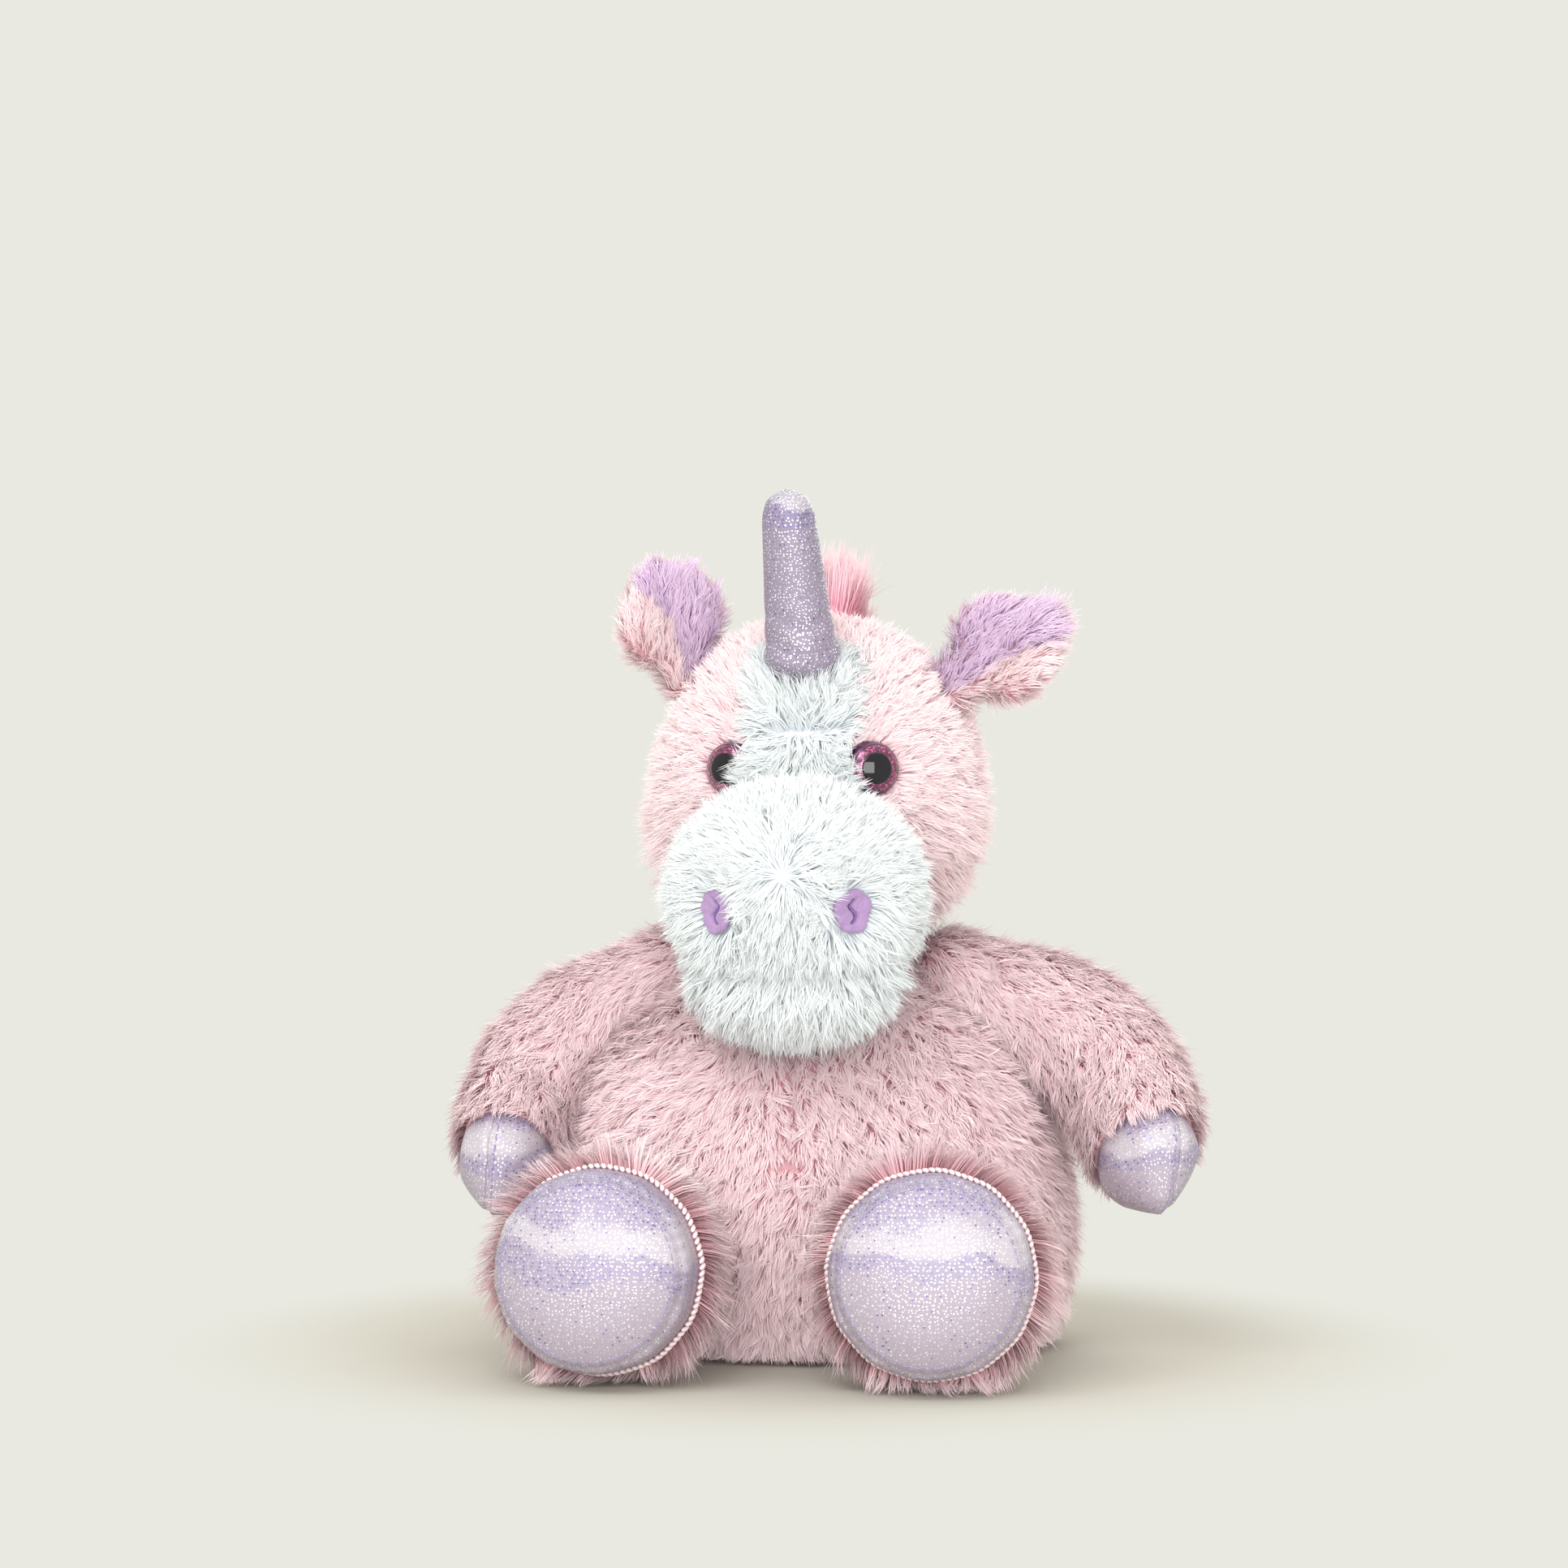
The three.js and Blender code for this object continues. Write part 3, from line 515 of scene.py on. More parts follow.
def turned(profile, middle, axis, corners=64):
    """A smooth turned mesh from (radius, height) pairs in mm."""
    level, climb = side_axes(axis)
    angle = np.arange(corners) * 2 * math.pi / corners
    round_way = np.cos(angle)[:, None] * level + np.sin(angle)[:, None] * climb
    rows = [middle + axis * h * MM + round_way * max(r, 0.01) * MM for r, h in profile]
    return closed_mesh(np.concatenate(rows).tolist(), ring_faces(0, len(profile), corners))


def tubes(paths, radius, corners=6):
    """Round-ended threads along the given paths, as one mesh. Each path is points with outward normals."""
    verts, faces = [], []
    angle = np.arange(corners) * 2 * math.pi / corners
    for path, normals in paths:
        path = np.asarray(path)
        ways = unit(np.gradient(path, axis=0))
        across = unit(np.cross(ways, normals))
        lift = np.cross(across, ways)
        start = len(verts)
        swell = np.sin(np.linspace(0.12, 0.88, len(path)) * math.pi) ** 0.4
        for k in range(len(path)):
            ring = np.cos(angle)[:, None] * across[k] + np.sin(angle)[:, None] * lift[k]
            verts.extend((path[k] + ring * radius * MM * swell[k]).tolist())
        faces += ring_faces(start, len(path), corners)
    return closed_mesh(verts, faces)


def stitch_over(hits):
    """A thread's path just over the places that rays hit, or nothing where a ray missed."""
    if any(hit[0] is None for hit in hits):
        return []
    normals = np.array([hit[1] for hit in hits])
    return [(np.array([hit[0] for hit in hits]) + normals * 0.12 * MM, normals)]


def highlight_band_map(mesh, level):
    """A second UV map that says how high each point lies on its piece, from 0 to 1. The glitter paints its
    highlight and reflection bands by it.
    """
    layer = mesh.uv_layers.new(name="band")
    loops = gather(mesh.loops, "vertex_index", kind=np.int64)
    layer.data.foreach_set("uv", np.stack([level[loops], level[loops]], 1).ravel())
    return mesh


def cloth_map(mesh, flat_axes, middle, axis, radius):
    """A UV map in metres: flat along two axes, and round the axis where the surface turns away from it."""
    mesh.calc_loop_triangles()
    layer = mesh.uv_layers.new(name="cloth")
    co = points_of(mesh) - middle
    loops = gather(mesh.loops, "vertex_index", kind=np.int64)
    first, second = flat_axes
    uv = np.stack([co @ first, co @ second], 1)[loops]
    angle = np.arctan2(co @ second, co @ first)
    around = np.stack([angle * radius * MM, co @ axis], 1)[loops]
    totals = np.array([len(p.vertices) for p in mesh.polygons])
    facing = np.repeat(np.abs(gather(mesh.polygons, "normal", 3) @ axis), totals)
    uv = np.where(facing[:, None] > 0.72, uv, around)
    layer.data.foreach_set("uv", uv.ravel())
    return mesh


# ---------- Padded forms ----------
TORSO = ("torso_front_left", "torso_front_right", "torso_back")
HEAD_PANELS = ("head_side_left", "head_side_right", "blaze_gusset", "muzzle_cover", "chin_cover")
FORMS = {  # name: (CAD nodes, voxel mm, smoothing steps, puff cap mm)
    "torso": (TORSO + ("torso_stuffing",), 4.5, 8, 2.5),
    "head": (HEAD_PANELS + ("head_stuffing", "chin_stuffing"), 4.0, 8, 1.5),
    "neck": (("neck_sleeve", "neck_stuffing"), 3.0, 4, 0.5),
    "horn": (("horn_cover", "horn_stuffing"), 1.5, 10, 0.6),
    "tail": (("tail",), 2.5, 3, 1.0),
}
for side in SIDES:
    arm = [f"{part}_{side}" for part in ("arm_sleeve", "arm_stuffing", "hoof_outer", "hoof_inner")]
    leg = [f"{part}_{side}" for part in ("leg_sleeve", "leg_stuffing", "foot_band", "foot_sole")]
    FORMS[f"arm_{side}"] = (arm, 2.5, 8, 1.6)
    FORMS[f"leg_{side}"] = (leg, 2.5, 14, 1.8)
    FORMS[f"ear_{side}"] = ((f"ear_outer_{side}", f"ear_lining_{side}"), 1.5, 4, 0.6)
    FORMS[f"shoulder_{side}"] = ((f"shoulder_stuffing_{side}",), 2.5, 4, 0.3)
    FORMS[f"hip_{side}"] = ((f"hip_stuffing_{side}",), 3.0, 4, 0.3)

forms = {
    name: smooth_shaded(relaxed(remeshed(members, voxel), steps))
    for name, (members, voxel, steps, _) in FORMS.items()
}
puffed(list(forms.values()), [cap for *_, cap in FORMS.values()])

# The chest seam draws the pile into a shallow groove that ends in a tuck.
torso = subdivided(forms["torso"])
co = points_of(torso)
front = co[:, 1] < 0
groove = np.exp(-((co[:, 0] / (3.2 * MM)) ** 2)) * front
groove *= np.clip((co[:, 2] / MM - 55) / 15, 0, 1) * np.clip((128 - co[:, 2] / MM) / 15, 0, 1)
tuck = np.exp(-(co[:, 0] ** 2 + (co[:, 2] - 76 * MM) ** 2) / (9 * MM) ** 2) * front
set_points(torso, co - normals_of(torso) * (2.2 * groove + 4.0 * tuck)[:, None] * MM)
forms["torso"] = torso
for name in ("head", "neck", "tail"):
    forms[name] = subdivided(forms[name])

trees = {name: tree_of(mesh) for name, mesh in forms.items()}


# ---------- Pile ----------
STRAND_FACES = np.array([0, 1, 3, 2, 2, 3, 5, 4, 4, 5, 6])
STRAND_ALONG = np.array([0, 0, 0.4, 0.4, 0.75, 0.75, 1.0])


def strand_mesh(name, verts, normals, tint):
    """All strands of one piece: each is two quads and a pointed end."""
    count = len(verts)
    mesh = bpy.data.meshes.new(name)
    mesh.vertices.add(count * 7)
    mesh.vertices.foreach_set("co", verts.astype(np.float32).ravel())
    mesh.loops.add(count * 11)
    corner = (STRAND_FACES[None] + 7 * np.arange(count)[:, None]).astype(np.int32)
    mesh.loops.foreach_set("vertex_index", corner.ravel())
    mesh.polygons.add(count * 3)
    starts = (np.array([0, 4, 8])[None] + 11 * np.arange(count)[:, None]).astype(np.int32)
    mesh.polygons.foreach_set("loop_start", starts.ravel())
    mesh.polygons.foreach_set("use_smooth", np.ones(count * 3, bool))
    layer = mesh.uv_layers.new(name="OFBake")
    uv = np.empty((count, 11, 2), np.float32)
    uv[:, :, 0] = tint[:, None]
    uv[:, :, 1] = 0.02 + 0.96 * STRAND_ALONG[STRAND_FACES][None]
    layer.data.foreach_set("uv", uv.ravel())
    mesh.update(calc_edges=True)
    mesh.normals_split_custom_set_from_vertices(normals.reshape(-1, 3).astype(np.float32))
    return mesh


WAVES = rng.normal(size=(3, 4, 3))
PHASES = rng.random((3, 4)) * 2 * math.pi


def drift(points, size, channel=0):
    """A smooth wandering value, about -1 to 1, that changes over size in mm."""
    angle = points @ WAVES[channel].T / (size * MM) * 1.6 + PHASES[channel]
    return np.sin(angle).mean(1) * 1.6


def stray(points, size):
    """A smooth wandering direction that changes over size in mm."""
    return np.stack([drift(points, size, k) for k in range(3)], 1)


def scattered(mesh, density):
    """Random places on a mesh: points, normals and faces. Density is in strands per square mm."""
    mesh.calc_loop_triangles()
    corner = gather(mesh.loop_triangles, "vertices", 3, np.int32)
    face = gather(mesh.loop_triangles, "polygon_index", kind=np.int32)
    co, normal = points_of(mesh), normals_of(mesh)
    a, b, c = (co[corner[:, i]] for i in range(3))
    area = np.linalg.norm(np.cross(b - a, c - a), axis=1) / 2 / MM**2
    weight = area * (density[face] if np.ndim(density) else density)
    total = int(weight.sum())
    pick = rng.choice(len(face), total, p=weight / weight.sum())
    r = rng.random((total, 2))
    flip = r.sum(1) > 1
    r[flip] = 1 - r[flip]
    share = np.stack([1 - r.sum(1), r[:, 0], r[:, 1]], 1)[:, :, None]
    return (
        (co[corner[pick]] * share).sum(1),
        unit((normal[corner[pick]] * share).sum(1)),
        face[pick],
    )


def clear_of(points, names, gap):
    """Which points stand at least gap mm outside the named forms."""
    keep = np.ones(len(points), bool)
    reach = 40 * MM
    for name in names:
        for i in np.nonzero(keep)[0]:
            place, normal, _, _ = trees[name].find_nearest(points[i], reach)
            if place is not None and (Vector(points[i]) - place).dot(normal) < gap * MM:
                keep[i] = False
    return keep


def rooted(mesh, density, names, gap=0.5):
    """Places on a mesh for strands, away from the named forms."""
    roots, normals, face = scattered(mesh, density)
    keep = clear_of(roots, names, gap)
    return roots[keep], normals[keep], face[keep]


def strands(roots, normals, comb, length, width=0.38, lean=54, clump=12, tight=0.42, wander=24, loose=0.12):
    """Curved tapering strands drawn together in tufts. Sizes are in mm, lean and wander in degrees."""
    count = len(roots)
    comb = unit(comb - (comb * normals).sum(1, keepdims=True) * normals)
    length = np.broadcast_to(length, count) * (0.78 + 0.34 * rng.random(count))
    centres = rng.choice(count, max(2, count // clump), replace=False)
    tree = KDTree(len(centres))
    for i, index in enumerate(centres):
        tree.insert(roots[index], i)
    tree.balance()
    home = centres[np.array([tree.find(p)[1] for p in roots])]
    turn = np.zeros(count)
    turn[centres] = rng.normal(0, wander, len(centres))
    rise = np.zeros(count)
    rise[centres] = rng.normal(0, 7, len(centres))
    reach = np.ones(count)
    reach[centres] = 0.86 + 0.26 * rng.random(len(centres))
    turn, rise, reach = turn[home], rise[home], reach[home]

    def heading(n, c, turn_deg, lean_deg):
        turn_rad, lean_rad = np.radians(turn_deg)[:, None], np.radians(lean_deg)[:, None]
        across = np.cross(n, c)
        flat = c * np.cos(turn_rad) + across * np.sin(turn_rad)
        return n * np.cos(lean_rad) + flat * np.sin(lean_rad)

    own_turn = turn + rng.normal(0, 9, count)
    own_lean = np.clip(lean + rise + rng.normal(0, 7, count), 4, 80)
    free = rng.random(count) < loose
    own_lean[free] *= 0.6
    way = heading(normals, comb, own_turn, own_lean)
    size = (length * reach * MM)[:, None]
    own_tip = roots + way * size
    tuft_tip = own_tip[home] + (roots - roots[home]) * 0.25
    pull = np.where(free, 0.05, np.clip(tight + rng.normal(0, 0.14, count), 0, 0.92))[:, None]
    tip = own_tip * (1 - pull) + tuft_tip * pull
    tip[:, 2] -= 0.06 * size[:, 0]
    knee = roots + size * 0.52 * unit(normals * 1.15 + comb * 0.45)
    # Pile that would reach under the floor spreads over it instead.
    low = FLOOR + rng.random(count) * 2.0 * MM
    fall = np.maximum(roots[:, 2] - tip[:, 2], 1e-9)
    ease = np.clip(np.maximum(roots[:, 2] - low, 0) / fall, 0, 1)
    for point in (tip, knee):
        drop = point[:, 2] - roots[:, 2]
        point[:, 2] = roots[:, 2] + np.where(drop < 0, drop * ease, drop)
    rows = []
    for t in (0, 0.4, 0.75, 1):
        rows.append(roots * (1 - t) ** 2 + knee * 2 * t * (1 - t) + tip * t * t)
    rows[0] = rows[0] - normals * 0.6 * MM
    along = unit(tip - roots)
    side = unit(np.cross(along, normals))
    lift = np.cross(side, along)
    roll = np.radians(rng.uniform(-22, 22, count))[:, None]
    side = side * np.cos(roll) + lift * np.sin(roll)
    half = (width * (0.75 + 0.5 * rng.random(count)) / 2 * MM)[:, None]
    verts = np.empty((count, 7, 3))
    for row, share in ((0, 1.0), (1, 0.95), (2, 0.7)):
        verts[:, row * 2] = rows[row] - side * half * share
        verts[:, row * 2 + 1] = rows[row] + side * half * share
    verts[:, 6] = rows[3]
    verts[:, :, 2] = np.maximum(verts[:, :, 2], FLOOR)
    face = np.cross(side, along)
    normal = unit(normals * 0.35 + face * 0.65 + rng.normal(0, 0.04, (count, 3)))
    shading = np.repeat(normal[:, None], 7, 1)
    return verts, shading, rng.random(count)


def pile(name, made, material, body, keep=slice(None)):
    """Turns strands into one named piece."""
    return finished(name, strand_mesh(name, *(part[keep] for part in made)), material, body)


def nearest_of(mesh, names):
    """For each face, which of the named CAD nodes lies nearest."""
    found = [tree_of(nodes[name].data) for name in names]
    out = np.empty(len(mesh.polygons), np.int32)
    for i, polygon in enumerate(mesh.polygons):
        out[i] = min(range(len(names)), key=lambda k: found[k].find_nearest(polygon.center)[3])
    return out


# Torso
panel = nearest_of(forms["torso"], TORSO)
LIMBS = [f"{part}_{side}" for part in ("arm", "leg", "shoulder", "hip") for side in SIDES]
roots, normals, face = rooted(forms["torso"], np.where(panel == 2, 1.4, 2.0), LIMBS + ["neck", "tail"], 1.0)
keep = (roots[:, 2] > 1.5 * MM) | (normals[:, 2] > -0.8)
x, z = roots[:, 0] / MM, roots[:, 2] / MM
bare = (np.abs(x) < 2.2) & (np.abs(z - 108) < 13) | ((x / 9) ** 2 + ((z - 76) / 3.0) ** 2 < 1)
keep &= ~(bare & (normals[:, 1] < 0))
roots, normals, face = roots[keep], normals[keep], face[keep]
x, z = roots[:, 0] / MM, roots[:, 2] / MM
comb = np.stack([np.tanh(x / 12) * 0.45 + 0.4 * drift(roots, 26), np.zeros(len(x)), -np.ones(len(x))], 1)
comb[:, 1] += np.where(normals[:, 1] < 0, 0.3, -0.1) * drift(roots, 30, 1)
length = 12.5 - 6.5 * np.exp(-((x / 4) ** 2)) * (normals[:, 1] < 0) * np.clip((z - 62) / 8, 0, 1)
length = np.where(normals[:, 2] < -0.6, 6, length)
over_tuck = np.exp(-((x / 9) ** 2) - ((z - 82) / 6) ** 2) * (normals[:, 1] < 0)
length = length * (1 - 0.5 * over_tuck)
grown = strands(roots, normals, comb, length, lean=56)
for i, name in enumerate(TORSO[:2]):
    pile(f"{name}_pile", grown, "body_plush", "torso", panel[face] == i)
for side, sign in SIDES.items():
    here = (panel[face] == 2) & (x * sign >= 0)
    pile(f"torso_back_{side}_pile", grown, "body_plush", "torso", here)
inside = ("torso_stuffing", "pellet_pouch")
finished("torso_form", forms["torso"], "backing", "torso", TORSO + inside)
inside = ("neck_sleeve", "neck_stuffing")
finished("neck_form", forms["neck"], "backing", "neck_sleeve", inside)

# Head. Values for each panel are in the order of HEAD_PANELS.
panel = nearest_of(forms["head"], HEAD_PANELS)
density = np.array([2.1, 2.1, 4.0, 2.95, 3.2])[panel]
roots, normals, face = rooted(forms["head"], density, ["neck", "horn", "ear_left", "ear_right", "torso"], 1.0)
part = panel[face]
eyes = {side: disc_frame(f"eye_iris_{side}", HEAD) for side in SIDES}
nostrils = {side: disc_frame(f"nostril_{side}", HEAD) for side in SIDES}
FACE = HEAD + np.array([0, -60, -18]) * MM
MUZZLE = np.array([4, -112, 183]) * MM
comb = np.empty_like(roots)
is_side, is_blaze, is_muzzle, is_chin = part < 2, part == 2, part == 3, part == 4
behind = np.clip((roots[:, 1] / MM - 5) / 40, 0, 1)[:, None]
outwards = unit(roots - FACE) + [0, 0.15, -0.35]
comb[is_side] = (outwards * (1 - behind) + np.array([0, 0, -1]) * behind)[is_side]
across = np.tanh((roots[:, 0] - HEAD[0]) / (9 * MM))
comb[is_blaze] = np.stack([across * 0.9, across * 0, -0.9 + across * 0], 1)[is_blaze]
comb[is_muzzle] = unit(roots[is_muzzle] - MUZZLE) + [0, 0, -0.15]
comb[is_chin] = unit(roots[is_chin] - MUZZLE) + [0, 0, -0.8]
comb += stray(roots, 20) * 0.25

# Round the horn's foot the pile stands up against the horn.
horn_points = cad_points("horn_cover")
horn_foot = horn_points[horn_points[:, 2] < np.percentile(horn_points[:, 2], 30)].mean(0)
horn_way = unit(horn_points[np.argmax(horn_points[:, 2])] - horn_foot)
deep, spread = split_off(roots - horn_foot, horn_way)
hug = np.exp(-((np.linalg.norm(spread, axis=1) / (17 * MM)) ** 8)) * (np.abs(deep) < 22 * MM)
along_horn = unit(horn_way + unit(spread) * 0.62)
horn_lean = np.degrees(np.arccos(np.clip((along_horn * normals).sum(1), -1, 1)))
comb = comb * (1 - hug)[:, None] + 2 * along_horn * hug[:, None]

for middle, axis in nostrils.values():
    away = roots - middle
    gap = np.linalg.norm(away, axis=1) / MM
    comb += unit(away) * (2.5 * np.exp(-((gap / 13) ** 2)))[:, None]
cheek = np.clip((222 - roots[:, 2] / MM) / 35, 0, 1) * is_side
fuller = cheek * (part == HEAD_PANELS.index("head_side_right")) * (roots[:, 1] < 45 * MM)
length = np.array([11.0, 11.0, 11.5, 13.0, 14.5])[part] + 8 * cheek + 5 * fuller
lean = np.array([52, 52, 54, 54, 48])[part] - 12 * cheek - 6 * fuller
lean = lean + (horn_lean - lean) * hug
length = length + 4.0 * hug

# The mouth is a line of short pile.
mouth_line = np.exp(-(((roots[:, 2] / MM - 150.5) / 3.5) ** 2)) * (np.abs(roots[:, 0] - HEAD[0]) < 27 * MM)
length = length * (1 - 0.6 * mouth_line * (part > 2))

# White pile falls over the nose side of each eye. Elsewhere eyes and nostrils stay clear.
VEIL_LENGTH = {"left": 13.5, "right": 16.5}
VEIL_EDGE = {"left": 1.6, "right": -2.6}  # how near the eye's middle the veil ends, in mm towards the nose
NOSTRIL_CLEAR = {"left": 7.2, "right": 6.0}


def towards_nose(off, side):
    return off[..., 0] * -SIDES[side] * 0.6 - off[..., 2] * 0.8


for side, (middle, axis) in eyes.items():
    _, off = split_off(roots - middle, axis)
    veil = (np.linalg.norm(off, axis=1) < 18 * MM) & (part > 1) & (towards_nose(off, side) > 2 * MM)
    comb[veil] = -unit(off[veil]) + [0, 0, 0.15]
    lean = np.where(veil, 40, lean)
    length = np.where(veil, VEIL_LENGTH[side], length)
grown = strands(roots, normals, comb, length, lean=lean)
verts = grown[0]
show = np.ones(len(roots), bool)
for side, (middle, axis) in eyes.items():
    deep, spread = split_off(verts - middle, axis)
    veiled = (towards_nose(verts - middle, side) > VEIL_EDGE[side] * MM) & (part > 1)[:, None]
    show &= ~((np.linalg.norm(spread, axis=-1) < 10.4 * MM) & (deep > -3 * MM) & ~veiled).any(1)
for side, (middle, axis) in nostrils.items():
    _, spread = split_off(verts - middle, axis)
    show &= ~(np.linalg.norm(spread, axis=-1) < NOSTRIL_CLEAR[side] * MM).any(1)
for i, name in enumerate(HEAD_PANELS):
    pile(f"{name}_pile", grown, "head_plush" if i < 2 else "white_plush", "head", show & (part == i))
inside = ("head_stuffing", "chin_stuffing")
head_form = finished("head_form", forms["head"], "backing", "head", HEAD_PANELS + inside)
head_form.data.materials.append(MATERIALS["pale_backing"])
head_form.data.polygons.foreach_set("material_index", (panel > 1).astype(np.int32))

# Mane: a crest of long hair up the middle of the crown.
centre = np.array([polygon.center for polygon in forms["head"].polygons])
strip = (np.abs(centre[:, 0] - HEAD[0] - 2 * MM) < 8 * MM) & (centre[:, 1] > 2 * MM)
strip &= centre[:, 2] > 190 * MM
roots, normals, face = scattered(forms["head"], np.where(strip, 7.0, 0.0))
comb = np.zeros_like(roots) + [0, 1.0, 0.0]
comb[:, 0] = rng.normal(0, 0.5, len(roots))
length = 36 - 14 * np.clip((roots[:, 1] / MM - 20) / 40, 0, 1)
made = strands(roots, normals, comb, length, width=0.42, lean=14, clump=34, tight=0.4, wander=30)
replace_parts(pile("mane_hair", made, "mane_hair", "head"), "mane")

# Ears. The longest pile points along the peaks.
EAR_PEAKS = {"left": (0.86, 0, 0.5), "right": (0.3, 0, 0.95)}
for side, sign in SIDES.items():
    names = (f"ear_outer_{side}", f"ear_lining_{side}")
    form = forms[f"ear_{side}"]
    panel = nearest_of(form, names)
    ear = cad_points(*names)
    near = ear[np.argsort(np.linalg.norm(ear - HEAD, axis=1))[:12]].mean(0)
    tip = ear[np.argmax(np.linalg.norm(ear - near, axis=1))]
    way = unit(tip - near)
    roots, normals, face = rooted(form, np.where(panel == 0, 2.4, 2.8), ["head"])
    deep, spread = split_off(roots - near, way)
    peak = unit(EAR_PEAKS[side])
    comb = way + unit(spread) * 0.4 + peak * 0.7 + stray(roots, 14) * 0.2
    share = np.clip(deep / ((tip - near) @ way), 0, 1)
    at_peak = np.clip(unit(roots - ear.mean(0)) @ peak, 0, 1) ** 3
    length = 7.5 + 4 * (1 - share) ** 2 + 9 * at_peak * share
    made = strands(roots, normals, comb, length, lean=60 - 12 * (1 - share), clump=18, loose=0.2, wander=15)
    lining = cad_points(names[1])
    facing = unit(lining.mean(0) - cad_points(names[0]).mean(0))
    rim_way = unit(np.cross(way, facing)) * -sign
    across = (roots - lining.mean(0)) @ rim_way / MM
    lined = (panel[face] == 1) & (across + 2.5 * drift(roots, 9) > -6.0)
    for i, slot in enumerate(("head_plush", "lilac_plush")):
        pile(f"{names[i]}_pile", made, slot, f"ear_{side}", lined == (i == 1))
    finished(f"ear_form_{side}", form, "backing", f"ear_{side}", names)


# ---------- Arms ----------
def centreline(names, start, count=9):
    """Middles of slices of a limb, from its root outwards."""
    co = cad_points(*names)
    far = np.linalg.norm(co - start, axis=1)
    edges = np.linspace(0, far.max(), count + 1)
    slices = [co[(far >= a) & (far <= b)] for a, b in zip(edges, edges[1:])]
    return np.array([part.mean(0) for part in slices if len(part)])


for side, sign in SIDES.items():
    form = forms[f"arm_{side}"]
    body = f"arm_{side}"
    shoulder = cad_points(f"shoulder_stuffing_{side}").mean(0)
    hoof = cad_points(f"hoof_outer_{side}", f"hoof_inner_{side}")
    sleeve = cad_points(f"arm_sleeve_{side}")
    far = unit(hoof.mean(0) - sleeve[np.argsort(np.linalg.norm(sleeve - hoof.mean(0), axis=1))[:16]].mean(0))
    ring = hoof[np.argsort(hoof @ far)[:14]]
    wrist = ring.mean(0)
    far_axis = np.linalg.svd(ring - wrist, full_matrices=False)[2][2]
    far = far_axis if far_axis @ far > 0 else -far_axis
    sleeve_mesh = cut(form, wrist, far, keep_front=False)
    hoof_mesh = cut(form, wrist, far)
    inner = cad_points(f"hoof_inner_{side}").mean(0)
    outer = cad_points(f"hoof_outer_{side}").mean(0)
    parting = unit((outer - inner) - ((outer - inner) @ far) * far)
    middle = (inner + outer) / 2 - parting * 5 * MM
    hoof_mesh = subdivided(hoof_mesh)
    co = points_of(hoof_mesh)
    near_seam = np.exp(-(((co - middle) @ parting) / (1.3 * MM)) ** 2)
    near_wrist = np.exp(-(((co - wrist) @ far) / (2.2 * MM)) ** 2)
    set_points(hoof_mesh, co - normals_of(hoof_mesh) * (0.8 * near_seam + 1.0 * near_wrist)[:, None] * MM)
    tree = tree_of(hoof_mesh)
    level = np.cross(parting, far)
    for label, way in (("outer", parting), ("inner", -parting)):
        half = cut(hoof_mesh, middle, way)
        half = cloth_map(half, (level, parting), middle, far, 18)
        # The height on the hoof places the glitter's painted highlight and painted reflection bands.
        rise = points_of(half)[:, 2]
        half = highlight_band_map(half, (rise - co[:, 2].min()) / np.ptp(co[:, 2]))
        name, node = f"hoof_{label}_form_{side}", f"hoof_{label}_{side}"
        finished(name, thick(half, 1.2), "glitter_cloth", body, (node,))
    # Dashes of thread beside the hoof's seam.
    dashes = []
    reach = 60 * MM
    origin = middle + parting * 2.6 * MM
    for start in np.arange(-118, 118, 9.0):
        hits = []
        for angle in np.radians(np.linspace(start, start + 5.6, 5)):
            out = far * math.cos(angle) + level * math.sin(angle)
            hits.append(tree.ray_cast(origin + out * reach, -out, reach))
        dashes += stitch_over(hits)
    finished(f"hoof_stitches_{side}", tubes(dashes, 0.3), "violet_thread", body)

    # The sleeve's pile follows the arm's bend and is short at the wrist.
    line = centreline((f"arm_sleeve_{side}", f"hoof_outer_{side}", f"hoof_inner_{side}"), shoulder)
    roots, normals, _ = rooted(sleeve_mesh, 2.0, ["torso"])
    keep = np.linalg.norm(roots - shoulder, axis=1) > 14 * MM
    roots, normals = roots[keep], normals[keep]
    near = np.exp(-((np.linalg.norm(roots[:, None] - line[None], axis=2) / (22 * MM)) ** 2)) + 1e-9
    ways = unit(near @ unit(np.gradient(line, axis=0)))
    comb = ways + [sign * 0.15, 0, -0.35] + stray(roots, 22) * 0.25
    short = np.clip(1 - np.abs((roots - wrist) @ far) / (10 * MM), 0, 1)
    made = strands(roots, normals, comb, 11.5 - 3 * short, lean=64, wander=15, tight=0.36)
    pile(f"arm_pile_{side}", made, "body_plush", body)
    inside = (f"arm_sleeve_{side}", f"arm_stuffing_{side}")
    finished(f"arm_form_{side}", thick(sleeve_mesh, 1.6), "backing", body, inside)
    ball, node = f"shoulder_{side}", f"shoulder_stuffing_{side}"
    finished(f"shoulder_form_{side}", forms[ball], "backing", ball, (node,))

